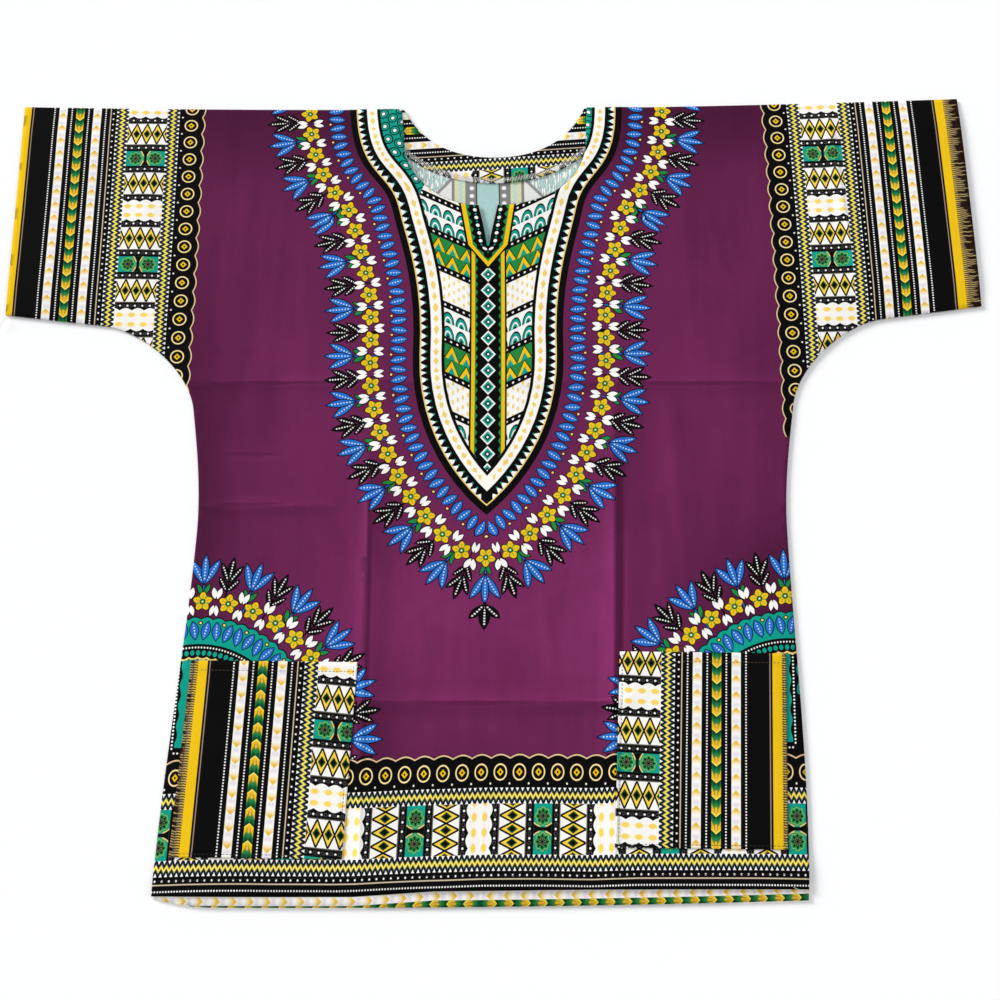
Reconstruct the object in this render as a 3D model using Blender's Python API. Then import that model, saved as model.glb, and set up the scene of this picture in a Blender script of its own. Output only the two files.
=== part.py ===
"""Dashiki shirt, laid flat and face up, neck towards +Y.

Five pieces of cloth: back, front, the facing inside the back neck, and two patch pockets.
Each is first drawn as its flat cut, in metres about the wearer's centre line, then laid on
the table with the small lean and rise that hands leave in it, and then given its wall and
its folds. The back lies flat on the table at z = 0 and the others lie on it in layers.
"""

import math

import bmesh
import bpy
from mathutils import Vector
from mathutils.geometry import interpolate_bezier

# ---- driving sizes, in metres ----

CLOTH = 0.0012          # wall of one layer, its nap and its seam allowances with it
GAP = 0.0003            # air between two layers that touch
SHOULDER_Y = 0.3910     # top edge, where front and back are sewn together
CUFF_X = 0.4785         # half of the width from cuff to cuff
CUFF_LOW = (0.4775, 0.1588)
SLEEVE_STRAIGHT_END = (0.3800, 0.1490)
ARMPIT = (0.2865, 0.0600)
WAIST = (0.2747, -0.0650)
HEM_HALF = 0.2835
UNDERARM_PULLS = ((0.3400, 0.1445), (0.2910, 0.1000))   # handles of the curves between these
FLANK_PULLS = ((0.2810, 0.0250), (0.2735, -0.0200))
SKIRT_PULLS = ((0.2760, -0.1600), (0.2865, -0.2800))
BACK_HEM_Y = -0.3940
FRONT_HEM_Y = -0.3805   # the front hangs shorter than the back
FRONT_HEM_ARCH = 0.055  # per metre: the front's hem drops towards its corners
HEM_CORNER_CURL = 0.0075  # the back's left corner is turned in by this much
CURL_START = 0.2300     # and this far from the middle the turning in begins
HEM_TURN = 0.0220       # width of the back's turned-up hem
HEM_TURN_STEP = 0.0030  # length over which the turned-up cloth thins out

NECK_CENTRE = 0.0030    # the neck was laid a little to the wearer's left
NECK_HALF = 0.0925      # of the back, at the shoulder seam
FRONT_NECK_HALF = 0.0950
FRONT_NECK_Y = 0.2805
FRONT_NECK_SIDE = (0.0920, 0.3450)
FRONT_NECK_PULLS = ((0.0490, FRONT_NECK_Y), (0.0860, 0.3040))
SLIT_CENTRE = -0.0050
SLIT_HALF = 0.0095
SLIT_TIP_Y = 0.2365
BACK_NECK_Y = 0.3352
BACK_NECK_PULLS = (0.0470, (0.0770, 0.3565))
FACING_WIDTH = 0.0290   # of the back neck facing
FACING_COVER = 0.0180   # the front lies over the facing this far from its middle line

POCKET_WIDTH = 0.1500
POCKET_HEIGHT = 0.1720
POCKET_LEAN = 0.050     # sideways, per metre of height: the pockets are sewn on a little askew
POCKET_DROP = 0.012     # downwards, per metre of width
POCKET_CENTRES = {"pocket_left": (-0.1961, -0.2675), "pocket_right": (0.1917, -0.2594)}

CURVE_STEPS = 9         # points along one curved stretch of an outline
HEM_STEPS = 24          # and along a hem
PANEL_GRID = 0.0220     # spacing of the front's mesh
PATCH_MARGIN = 0.0120   # how far past a pocket its cutting lines run on the front
FACING_GRID = 0.0120
BACK_GRID = 0.0700

# How the shirt lies: lean(y) moves cloth sideways, rise(x) moves it up the table.
LEAN = (0.0056, 0.0106, -0.042)
RISE = (0.0, 0.010, 0.032)

LOFT = 0.0014           # how far the front stands off the back away from its seams
LOFT_REACH = 0.035      # distance from a seam at which it stands so
STEP_REACH = 0.030      # the front comes down over this length beside a double layer
FOLD_SEAM_REACH = 0.015  # folds are pressed flat this near a seam

# Folds that the shirt was stored in, as lines on the table. before is the run-up on the
# left of an upright fold or above a level one, and after is the run-down beyond it.
# name: (x0, y0), (x1, y1), height, before, after, fade at the ends
FOLDS = {
    "left_upright": ((-0.1120, 0.0500), (-0.1120, -0.4000), 0.0024, 0.012, 0.034, 0.070),
    "right_upright": ((0.1225, 0.1000), (0.1090, -0.4000), 0.0030, 0.016, 0.008, 0.080),
    "chest_level": ((-0.2950, 0.0906), (0.3000, 0.0906), 0.0012, 0.020, 0.010, 0.020),
    "waist_level": ((-0.2900, -0.0340), (-0.1300, -0.0340), 0.0010, 0.016, 0.010, 0.030),
    "hip_level": ((-0.1500, -0.2170), (0.1500, -0.2170), 0.0020, 0.018, 0.012, 0.035),
    "side_pleat": ((-0.2270, 0.1100), (-0.2150, -0.1300), 0.0012, 0.022, 0.022, 0.050),
    "right_drape": ((0.1700, 0.0950), (0.1850, -0.1300), 0.0014, 0.018, 0.022, 0.050),
    "right_shoulder": ((0.1960, 0.3300), (0.1840, 0.1500), 0.0012, 0.020, 0.020, 0.050),
    "left_shoulder": ((-0.2450, 0.3300), (-0.2480, 0.1500), 0.0010, 0.020, 0.020, 0.050),
    "left_sleeve": ((-0.3380, 0.3900), (-0.3500, 0.1800), 0.0010, 0.022, 0.022, 0.050),
    "right_sleeve": ((0.3460, 0.4000), (0.3620, 0.1900), 0.0016, 0.014, 0.010, 0.030),
}
# The folds that get mesh lines of their own. The rest are soft enough for the grid.
SHARP_FOLDS = ("left_upright", "right_upright", "chest_level", "hip_level", "right_sleeve")


# ---- flat cuts ----

def curve(start, pull_start, pull_end, end):
    """Points of a smooth stretch of an outline, without its last one."""
    knots = [Vector((x, y, 0)) for x, y in (start, pull_start, pull_end, end)]
    return [(p.x, p.y) for p in interpolate_bezier(*knots, CURVE_STEPS)[:-1]]


def side_points(hem):
    """Right-hand edge of a panel from the top of the cuff down to the hem corner."""
    points = [(CUFF_X, SHOULDER_Y), CUFF_LOW]
    points += curve(SLEEVE_STRAIGHT_END, *UNDERARM_PULLS, ARMPIT)
    points += curve(ARMPIT, *FLANK_PULLS, WAIST)
    points += curve(WAIST, *SKIRT_PULLS, hem)
    return points + [hem]


def mirrored(points):
    return [(-x, y) for x, y in reversed(points)]


def about_neck(points):
    """Moves a neckline drawn about the middle of the neck into the cut."""
    return [(x + NECK_CENTRE, y) for x, y in points]


def front_neck():
    """The front neckline and its slit, from the left shoulder to the right."""
    slit = SLIT_CENTRE - NECK_CENTRE
    left, right = (
        curve((half, FRONT_NECK_Y), *FRONT_NECK_PULLS, FRONT_NECK_SIDE)
        + [FRONT_NECK_SIDE, (FRONT_NECK_HALF, SHOULDER_Y)]
        for half in (SLIT_HALF - slit, SLIT_HALF + slit)
    )
    return about_neck(mirrored(left) + [(slit, SLIT_TIP_Y)] + right)


def back_neck(drop=0.0, widen=0.0):
    """The back neckline from left to right, or a curve parallel to it further down."""
    bottom, top = (0.0, BACK_NECK_Y - drop), (NECK_HALF + widen, SHOULDER_Y)
    level, (side, height) = BACK_NECK_PULLS
    pulls = (level + widen / 3, bottom[1]), (side + widen, height - drop * 0.8)
    right = curve(bottom, *pulls, top) + [top]
    return about_neck(mirrored(right) + right[1:])


def front_hem(x):
    return FRONT_HEM_Y - FRONT_HEM_ARCH * x * x


def back_hem(x):
    """The back's hem, whose left corner is turned in."""
    along = min(max((-x - CURL_START) / (HEM_HALF - CURL_START), 0.0), 1.0)
    return BACK_HEM_Y + HEM_CORNER_CURL * along * along


def panel(neck, hem):
    """A whole front or back: left shoulder, neck, right side, hem, left side."""
    right = side_points((HEM_HALF, hem(HEM_HALF)))
    left = mirrored(side_points((HEM_HALF, hem(-HEM_HALF))))
    edge = [HEM_HALF * (1 - 2 * i / HEM_STEPS) for i in range(1, HEM_STEPS)]
    return neck + right + [(x, hem(x)) for x in edge] + left


def facing():
    """The crescent inside the back neck, from seam to seam."""
    upper = [(x, y - GAP) for x, y in back_neck()]
    return upper + back_neck(FACING_WIDTH, FACING_WIDTH)[::-1]


def pocket(centre):
    """A pocket's corners in its place on the front, already askew."""
    corners = []
    for x, y in ((-0.5, -0.5), (0.5, -0.5), (0.5, 0.5), (-0.5, 0.5)):
        across, up = x * POCKET_WIDTH, y * POCKET_HEIGHT
        corners.append((centre[0] + across + POCKET_LEAN * up, centre[1] + up - POCKET_DROP * across))
    return corners


# ---- laying the cuts on the table ----

def polynomial(factors, value):
    return sum(factor * value ** power for power, factor in enumerate(factors))


def lay(points):
    return [(x + polynomial(LEAN, y), y + polynomial(RISE, x)) for x, y in points]


def smooth(value):
    """0 below 0, 1 above 1, and an S in between."""
    value = min(max(value, 0.0), 1.0)
    return value * value * (3 - 2 * value)


def distance_to_path(x, y, path):
    """Shortest distance from a point to an open chain of points."""
    best = math.inf
    for (ax, ay), (bx, by) in zip(path, path[1:]):
        dx, dy = bx - ax, by - ay
        along = ((x - ax) * dx + (y - ay) * dy) / (dx * dx + dy * dy)
        along = min(max(along, 0.0), 1.0)
        best = min(best, math.hypot(x - ax - along * dx, y - ay - along * dy))
    return best


RIGHT_SEAM = lay(side_points((HEM_HALF, FRONT_HEM_Y))[1:])
LEFT_SEAM = lay(mirrored(side_points((HEM_HALF, FRONT_HEM_Y))[1:]))
SHOULDER_SEAMS = [lay([(side * NECK_HALF, SHOULDER_Y), (side * CUFF_X, SHOULDER_Y)]) for side in (-1, 1)]
SEAMS = [RIGHT_SEAM, LEFT_SEAM, *SHOULDER_SEAMS]
FACING_LINE = lay(back_neck(FACING_WIDTH / 2, FACING_WIDTH / 2))


def fold_height(x, y, fold):
    """Height that one fold adds at a point: a crease line with a run-up and a run-down."""
    (x0, y0), (x1, y1), height, before, after, fade = fold
    length = math.hypot(x1 - x0, y1 - y0)
    along_x, along_y = (x1 - x0) / length, (y1 - y0) / length
    along = (x - x0) * along_x + (y - y0) * along_y
    across = (x - x0) * along_y - (y - y0) * along_x
    if along_x > 0.5:
        across = -across
    reach = before if across > 0 else after
    ends = smooth(along / fade) * smooth((length - along) / fade)
    return height * ends * smooth(1 - abs(across) / reach)


def above_turn(x, y):
    """Distance above the straight top edge of the back's turned-up hem."""
    return y - (BACK_HEM_Y + HEM_TURN + RISE[1] * x)


def back_top(x, y):
    """The back's upper side, which is double where its hem is turned up."""
    return CLOTH * (2 - smooth(above_turn(x, y) / HEM_TURN_STEP))


def front_underside(x, y):
    """The front's lower side: on the back at its seams, standing off it between them."""
    from_seam = min(distance_to_path(x, y, seam) for seam in SEAMS)
    loft = LOFT * smooth(from_seam / LOFT_REACH)
    over_facing = 1 - smooth((distance_to_path(x, y, FACING_LINE) - FACING_COVER) / STEP_REACH)
    over_hem = 1 - smooth((above_turn(x, y) - HEM_TURN_STEP) / STEP_REACH)
    step = (CLOTH + GAP) * max(over_facing, over_hem)
    folds = sum(fold_height(x, y, fold) for fold in FOLDS.values())
    return CLOTH + GAP + step + loft + folds * smooth(from_seam / FOLD_SEAM_REACH)


def pocket_underside(x, y):
    return front_underside(x, y) + CLOTH + GAP


# ---- meshes ----

def cut_along(mesh, point, direction, faces=None):
    """Adds a line of edges through the flat cut, or through some of its faces."""
    normal = Vector((direction[1], -direction[0], 0)).normalized()
    faces = mesh.faces[:] if faces is None else faces
    edges = {edge for face in faces for edge in face.edges}
    verts = {vert for face in faces for vert in face.verts}
    parts = [*verts, *edges, *faces]
    bmesh.ops.bisect_plane(mesh, geom=parts, dist=1e-6, plane_co=Vector((*point, 0)), plane_no=normal)


def grid_places(low, high, spacing, taken):
    """Evenly spaced places between two ends, leaving out those too near a line already cut."""
    count = max(1, round((high - low) / spacing))
    places = [low + (high - low) * i / count for i in range(1, count)]
    return [p for p in places if all(not near_low < p < near_high for near_low, near_high in taken)]


def flat_mesh(outline, spacing, folds=()):
    """The laid cut as a flat mesh, with a grid and with lines along the named folds."""
    mesh = bmesh.new()
    mesh.faces.new([mesh.verts.new((x, y, 0)) for x, y in outline])
    mesh.normal_update()
    if mesh.faces[:][0].normal.z < 0:
        bmesh.ops.reverse_faces(mesh, faces=mesh.faces[:])
    taken = {0: [], 1: []}
    for name in folds:
        (x0, y0), (x1, y1), _, before, after, _ = FOLDS[name]
        level = abs(x1 - x0) > abs(y1 - y0)
        axis = 1 if level else 0
        sides = (before, 0.0, -after) if level else (-before, 0.0, after)
        for offset in sides:
            point = (x0, y0 + offset) if level else (x0 + offset, y0)
            cut_along(mesh, point, (x1 - x0, y1 - y0))
        starts = (y0, y1) if level else (x0, x1)
        taken[axis].append((min(starts) + min(sides) - spacing * 0.4, max(starts) + max(sides) + spacing * 0.4))
    xs, ys = [x for x, _ in outline], [y for _, y in outline]
    for x in grid_places(min(xs), max(xs), spacing, taken[0]):
        cut_along(mesh, (x, 0), (0, 1))
    for y in grid_places(min(ys), max(ys), spacing, taken[1]):
        cut_along(mesh, (0, y), (1, 0))
    return mesh


def cut_round(mesh, corners):
    """Adds edges round a patch, through the faces about it only."""
    low = [min(corner[axis] for corner in corners) - PATCH_MARGIN for axis in (0, 1)]
    high = [max(corner[axis] for corner in corners) + PATCH_MARGIN for axis in (0, 1)]
    for start, end in zip(corners, corners[1:] + corners[:1]):
        near = [
            face for face in mesh.faces
            if all(low[axis] < face.calc_center_median()[axis] < high[axis] for axis in (0, 1))
        ]
        cut_along(mesh, start, (end[0] - start[0], end[1] - start[1]), near)


def inside(corners, point):
    """Whether a point lies within a patch, whose corners run anticlockwise."""
    return all(
        (bx - ax) * (point.y - ay) > (by - ay) * (point.x - ax)
        for (ax, ay), (bx, by) in zip(corners, corners[1:] + corners[:1])
    )


def patch_of(mesh, corners):
    """A copy of the faces that lie within a patch."""
    patch = mesh.copy()
    outside = [face for face in patch.faces if not inside(corners, face.calc_center_median())]
    bmesh.ops.delete(patch, geom=outside, context="FACES")
    return patch


def raise_wall(mesh, underside, upper_side):
    """Turns the flat cut into a closed wall between two heights."""
    bmesh.ops.triangulate(mesh, faces=mesh.faces[:])
    lower = mesh.faces[:]
    made = bmesh.ops.duplicate(mesh, geom=mesh.verts[:] + mesh.edges[:] + lower)
    twin = made["vert_map"]
    rim = [edge for edge in mesh.edges if edge.is_boundary and edge.verts[0] in twin and edge.link_faces[0] in lower]
    originals = {vert for face in lower for vert in face.verts}
    for edge in rim:
        loop = edge.link_loops[0]
        start, end = loop.vert, loop.link_loop_next.vert
        mesh.faces.new((start, end, twin[end], twin[start]))
    for vert in originals:
        x, y = vert.co.x, vert.co.y
        vert.co.z, twin[vert].co.z = underside(x, y), upper_side(x, y)
    bmesh.ops.reverse_faces(mesh, faces=lower)
    bmesh.ops.triangulate(mesh, faces=[face for face in mesh.faces if len(face.verts) > 3])


def cloth_material(name, colour):
    material = bpy.data.materials.new(name)
    material.use_nodes = True
    shader = material.node_tree.nodes["Principled BSDF"]
    shader.inputs["Base Color"].default_value = (*colour, 1)
    shader.inputs["Roughness"].default_value = 0.82
    shader.inputs["Metallic"].default_value = 0.0
    return material


def add_piece(name, mesh, material):
    data = bpy.data.meshes.new(name)
    mesh.to_mesh(data)
    mesh.free()
    data.materials.append(material)
    piece = bpy.data.objects.new(name, data)
    bpy.context.scene.collection.objects.link(piece)
    return piece


def centre_on_origin(pieces):
    """Moves every piece so that the shirt's box is centred on the origin."""
    corners = [vert.co for piece in pieces for vert in piece.data.vertices]
    middle = [(min(c[axis] for c in corners) + max(c[axis] for c in corners)) / 2 for axis in (0, 1)]
    for piece in pieces:
        for vert in piece.data.vertices:
            vert.co.x -= middle[0]
            vert.co.y -= middle[1]
    print("middle of the laid cut:", [round(m, 5) for m in middle])


def build():
    for stale in list(bpy.context.scene.objects):
        bpy.data.objects.remove(stale, do_unlink=True)
    purple = cloth_material("purple print", (0.125, 0.020, 0.075))
    border = cloth_material("border print", (0.030, 0.028, 0.030))

    back = flat_mesh(lay(panel(back_neck(), back_hem)), BACK_GRID)
    for offset in (HEM_TURN, HEM_TURN + HEM_TURN_STEP):
        cut_along(back, (0, BACK_HEM_Y + offset), (1, RISE[1]))
    raise_wall(back, lambda x, y: 0.0, back_top)

    front = flat_mesh(lay(panel(front_neck(), front_hem)), PANEL_GRID, SHARP_FOLDS)
    patches = {name: pocket(centre) for name, centre in POCKET_CENTRES.items()}
    for corners in patches.values():
        cut_round(front, corners)
    bmesh.ops.triangulate(front, faces=front.faces[:])
    cloths = {name: patch_of(front, corners) for name, corners in patches.items()}
    raise_wall(front, front_underside, lambda x, y: front_underside(x, y) + CLOTH)

    inner = flat_mesh(lay(facing()), FACING_GRID)
    raise_wall(inner, lambda x, y: CLOTH + GAP, lambda x, y: 2 * CLOTH + GAP)

    pieces = [
        add_piece("back", back, purple),
        add_piece("front", front, purple),
        add_piece("neck_facing", inner, border),
    ]
    for name, cloth in cloths.items():
        raise_wall(cloth, pocket_underside, lambda x, y: pocket_underside(x, y) + CLOTH)
        pieces.append(add_piece(name, cloth, border))
    centre_on_origin(pieces)


build()
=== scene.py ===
# %% [markdown]
# # A dashiki shirt, laid flat
# The shirt is one loose length of printed cotton: a back, a front, a facing inside the back
# neck and two patch pockets. It lies face up on a pale table, as it does when it is unpacked.
# Its solids are already placed by the frame, so each piece here is a finer sheet of cloth made
# in the same place. We start by loading that frame.

# %% Load the frame
import math

import bpy
import numpy as np
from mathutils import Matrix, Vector, kdtree
from mathutils.geometry import delaunay_2d_cdt, interpolate_bezier


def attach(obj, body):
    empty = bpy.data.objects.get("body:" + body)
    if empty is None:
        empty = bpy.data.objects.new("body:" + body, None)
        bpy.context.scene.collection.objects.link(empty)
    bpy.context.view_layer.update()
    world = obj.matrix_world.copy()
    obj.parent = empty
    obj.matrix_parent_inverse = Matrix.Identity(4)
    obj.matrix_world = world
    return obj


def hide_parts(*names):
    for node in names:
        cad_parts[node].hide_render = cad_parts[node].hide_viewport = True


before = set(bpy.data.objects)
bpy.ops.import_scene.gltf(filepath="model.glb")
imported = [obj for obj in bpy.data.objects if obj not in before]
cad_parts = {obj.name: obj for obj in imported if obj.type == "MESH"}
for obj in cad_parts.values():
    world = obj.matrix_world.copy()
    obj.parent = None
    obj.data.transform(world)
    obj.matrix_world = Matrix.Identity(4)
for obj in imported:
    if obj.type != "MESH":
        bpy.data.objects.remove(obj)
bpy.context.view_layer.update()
print("nodes:", sorted(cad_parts))

# %% [markdown]
# ## The cut
# A pattern cutter works with flat pieces, and so do we. Every outline below is drawn about the
# wearer's centre line, in metres, and only later laid on the table with the small lean and rise
# that hands leave in it. Keeping the flat cut at hand pays off in the print: a stripe that is
# straight on the cloth stays straight in the cut, however the cloth lies.

# %% Driving sizes
MM = 0.001
CLOTH, GAP = 1.2 * MM, 0.3 * MM           # one layer, and the air between two that touch
SHOULDER_Y, CUFF_X = 0.3910, 0.4785
CUFF_LOW, SLEEVE_STRAIGHT_END = (0.4775, 0.1588), (0.3800, 0.1490)
ARMPIT, WAIST = (0.2865, 0.0600), (0.2747, -0.0650)
HEM_HALF, BACK_HEM_Y, FRONT_HEM_Y = 0.2835, -0.3940, -0.3805
UNDERARM_PULLS = (0.3400, 0.1445), (0.2910, 0.1000)       # handles of the curves between these
FLANK_PULLS = (0.2810, 0.0250), (0.2735, -0.0200)
SKIRT_PULLS = (0.2760, -0.1600), (0.2865, -0.2800)
FRONT_HEM_ARCH, HEM_CORNER_CURL, CURL_START = 0.055, 0.0075, 0.2300
HEM_TURN, HEM_TURN_STEP = 0.0220, 0.0030  # the back's hem is turned up and lies double
NECK_CENTRE, NECK_HALF, FRONT_NECK_HALF = 0.0030, 0.0925, 0.0950
FRONT_NECK_Y, BACK_NECK_Y, FRONT_NECK_SIDE = 0.2805, 0.3352, (0.0920, 0.3450)
FRONT_NECK_PULLS = (0.0490, FRONT_NECK_Y), (0.0860, 0.3040)
BACK_NECK_PULLS = 0.0470, (0.0770, 0.3565)  # the first lies level with the neck's lowest point
SLIT_CENTRE, SLIT_HALF, SLIT_TIP_Y = -0.0050, 0.0095, 0.2365
FACING_WIDTH = 0.0290
FACING_COVER = 0.0180                     # how far from the facing's middle the front lies on it
POCKET_WIDTH, POCKET_HEIGHT, POCKET_LEAN, POCKET_DROP = 0.1500, 0.1720, 0.050, 0.012
POCKET_CENTRES = {"pocket_left": (-0.1961, -0.2675), "pocket_right": (0.1917, -0.2594)}
LEAN, RISE = (0.0056, 0.0106, -0.042), (0.0, 0.010, 0.032)  # polynomials in y and in x
LOFT, LOFT_REACH, STEP_REACH = 0.0014, 0.035, 0.030       # the front stands this far off the back
MIDDLE = np.array((0.00427, 0.00417))     # of the laid cut, which the frame puts at its origin
print("cuff to cuff", round(2 * CUFF_X, 3), "m")
print("shoulder to hem", round(SHOULDER_Y - BACK_HEM_Y, 3), "m")

# %% Outlines of the cut pieces
def curve(start, pull_start, pull_end, end, steps=20):
    """Points of a smooth stretch of an outline, without its last one."""
    knots = [Vector((x, y, 0)) for x, y in (start, pull_start, pull_end, end)]
    return [(p.x, p.y) for p in interpolate_bezier(*knots, steps)[:-1]]


def side_points(hem):
    """Right-hand edge of a panel from the top of the cuff down to the hem corner."""
    points = [(CUFF_X, SHOULDER_Y), CUFF_LOW]
    points += curve(SLEEVE_STRAIGHT_END, *UNDERARM_PULLS, ARMPIT)
    points += curve(ARMPIT, *FLANK_PULLS, WAIST)
    points += curve(WAIST, *SKIRT_PULLS, hem)
    return points + [hem]


def mirrored(points):
    return [(-x, y) for x, y in reversed(points)]


def about_neck(points):
    """Moves a neckline drawn about the middle of the neck into the cut."""
    return [(x + NECK_CENTRE, y) for x, y in points]


def front_neck():
    """The front neckline with its slit, from the left shoulder to the right."""
    slit = SLIT_CENTRE - NECK_CENTRE
    left, right = (
        curve((half, FRONT_NECK_Y), *FRONT_NECK_PULLS, FRONT_NECK_SIDE)
        + [FRONT_NECK_SIDE, (FRONT_NECK_HALF, SHOULDER_Y)]
        for half in (SLIT_HALF - slit, SLIT_HALF + slit)
    )
    return about_neck(mirrored(left) + [(slit, SLIT_TIP_Y)] + right)


def back_neck(drop=0.0, widen=0.0):
    """The back neckline from left to right, or a curve parallel to it further down."""
    bottom, top = (0.0, BACK_NECK_Y - drop), (NECK_HALF + widen, SHOULDER_Y)
    level, (side, height) = BACK_NECK_PULLS
    pulls = (level + widen / 3, bottom[1]), (side + widen, height - drop * 0.8)
    right = curve(bottom, *pulls, top) + [top]
    return about_neck(mirrored(right) + right[1:])


def front_hem(x):
    return FRONT_HEM_Y - FRONT_HEM_ARCH * x * x


def back_hem(x):
    along = min(max((-x - CURL_START) / (HEM_HALF - CURL_START), 0.0), 1.0)
    return BACK_HEM_Y + HEM_CORNER_CURL * along * along


def panel(neck, hem, steps=60):
    """A whole front or back: neck, right side, hem, left side."""
    right = side_points((HEM_HALF, hem(HEM_HALF)))
    left = mirrored(side_points((HEM_HALF, hem(-HEM_HALF))))
    places = [HEM_HALF * (1 - 2 * i / steps) for i in range(1, steps)]
    return neck + right + [(x, hem(x)) for x in places] + left


def facing():
    return [(x, y - GAP) for x, y in back_neck()] + back_neck(FACING_WIDTH, FACING_WIDTH)[::-1]


def pocket(corner_xy):
    """Corners in a pocket's own cut, centred on it."""
    return [(x * POCKET_WIDTH, y * POCKET_HEIGHT) for x, y in corner_xy]


BACK_CUT, FRONT_CUT = panel(back_neck(), back_hem), panel(front_neck(), front_hem)
FACING_CUT = facing()
POCKET_CUT = pocket(((-0.5, -0.5), (0.5, -0.5), (0.5, 0.5), (-0.5, 0.5)))
print("points in the outlines:", len(BACK_CUT), len(FRONT_CUT), len(FACING_CUT), len(POCKET_CUT))

# %% Laying the cut on the table
def polynomial(factors, value):
    return sum(factor * value ** power for power, factor in enumerate(factors))


def lay(cut):
    """Cut coordinates to places on the table, for an array of points."""
    x, y = cut[:, 0], cut[:, 1]
    return np.stack([x + polynomial(LEAN, y), y + polynomial(RISE, x)], 1)


def sewn_on(name):
    """The function that puts a pocket's own cut where it is sewn."""
    centre = np.array(POCKET_CENTRES[name])

    def place(cut):
        x, y = cut[:, 0], cut[:, 1]
        return centre + np.stack([x + POCKET_LEAN * y, y - POCKET_DROP * x], 1)

    return place


print("the top of the right cuff lies at", lay(np.array([(CUFF_X, SHOULDER_Y)]))[0].round(4))

# %% [markdown]
# ## How high the cloth lies
# Laid cloth is nearly flat, so its shape is a height over the table. Three things make it: the
# layers below, the air between front and back away from the seams, and the folds that it was
# stored in. Each stored fold is a line with a run-up on one side and a run-down on the other,
# and it fades at both ends. Drapes are the same shape, only wide and low.

# %% Distances to seams
def smooth(value):
    """0 below 0, 1 above 1, and an S in between."""
    value = np.clip(value, 0.0, 1.0)
    return value * value * (3 - 2 * value)


def nearest_on(points, path, reach=np.inf):
    """For each point: distance to an open path, how far along it the foot is, the foot, and
    the path's right-hand normal there. Points past reach are left at that distance."""
    path = np.array(path)
    best, along = np.full(len(points), reach), np.zeros(len(points))
    foot, normal = np.zeros((len(points), 2)), np.zeros((len(points), 2))
    passed = 0.0
    for start, end in zip(path, path[1:]):
        run = end - start
        length = float(np.hypot(*run))
        low, high = np.minimum(start, end) - reach, np.maximum(start, end) + reach
        near = np.flatnonzero(((points > low) & (points < high)).all(1))
        share = np.clip(((points[near] - start) @ run) / length ** 2, 0, 1)
        here = start + share[:, None] * run
        gap = np.hypot(*(points[near] - here).T)
        nearer = gap < best[near]
        chosen = near[nearer]
        best[chosen], along[chosen] = gap[nearer], passed + share[nearer] * length
        foot[chosen], normal[chosen] = here[nearer], np.array((run[1], -run[0])) / length
        passed += length
    return best, along, foot, normal


def laid_path(cut):
    return lay(np.array(cut))


SIDE = side_points((HEM_HALF, FRONT_HEM_Y))[1:]
SHOULDERS = [[(side * NECK_HALF, SHOULDER_Y), (side * CUFF_X, SHOULDER_Y)] for side in (-1, 1)]
SEAMS = [laid_path(line) for line in (SIDE, mirrored(SIDE), *SHOULDERS)]
FACING_LINE = laid_path(back_neck(FACING_WIDTH / 2, FACING_WIDTH / 2))

# %% The stored folds
# name: (x0, y0), (x1, y1), height, before, after, fade at the ends, and how sharp its crest is
FOLDS = {
    "left_upright": ((-0.1120, 0.0500), (-0.1120, -0.4000), 0.0024, 0.012, 0.034, 0.070, 1.5),
    "right_upright": ((0.1225, 0.1000), (0.1090, -0.4000), 0.0030, 0.016, 0.008, 0.080, 1.5),
    "chest_level": ((-0.2950, 0.0906), (0.3000, 0.0906), 0.0012, 0.020, 0.010, 0.020, 1.6),
    "waist_level": ((-0.2900, -0.0340), (-0.1300, -0.0340), 0.0010, 0.016, 0.010, 0.030, 1.7),
    "hip_level": ((-0.1500, -0.2170), (0.1500, -0.2170), 0.0020, 0.018, 0.012, 0.035, 1.5),
    "side_pleat": ((-0.2270, 0.1100), (-0.2150, -0.1300), 0.0012, 0.022, 0.022, 0.050, 1.0),
    "right_drape": ((0.1700, 0.0950), (0.1850, -0.1300), 0.0014, 0.018, 0.022, 0.050, 1.0),
    "right_shoulder": ((0.1960, 0.3300), (0.1840, 0.1500), 0.0012, 0.020, 0.020, 0.050, 1.0),
    "left_shoulder": ((-0.2450, 0.3300), (-0.2480, 0.1500), 0.0010, 0.020, 0.020, 0.050, 1.0),
    "left_sleeve": ((-0.3380, 0.3900), (-0.3500, 0.1800), 0.0010, 0.022, 0.022, 0.050, 1.0),
    "right_sleeve": ((0.3460, 0.4000), (0.3620, 0.1900), 0.0016, 0.014, 0.010, 0.030, 1.4),
}


def beside_fold(x, y, fold):
    """Distance to the left of a fold or above it, and how far from its ends: 0 there, 1 within."""
    (x0, y0), (x1, y1), _, _, _, fade, _ = fold
    length = math.hypot(x1 - x0, y1 - y0)
    along_x, along_y = (x1 - x0) / length, (y1 - y0) / length
    along = (x - x0) * along_x + (y - y0) * along_y
    across = (x - x0) * along_y - (y - y0) * along_x
    ends = smooth(along / fade) * smooth((length - along) / fade)
    return (-across if along_x > 0.5 else across), ends


def fold_height(x, y, fold):
    """Height that one fold adds: a crease line with a run-up and a run-down."""
    _, _, height, before, after, _, sharp = fold
    across, ends = beside_fold(x, y, fold)
    rise = np.clip(1 - np.abs(across) / np.where(across > 0, before, after), 0, 1)
    return height * ends * (smooth(rise) if sharp == 1.0 else rise ** sharp)


print("seams:", len(SEAMS), "stored folds:", len(FOLDS))
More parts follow.
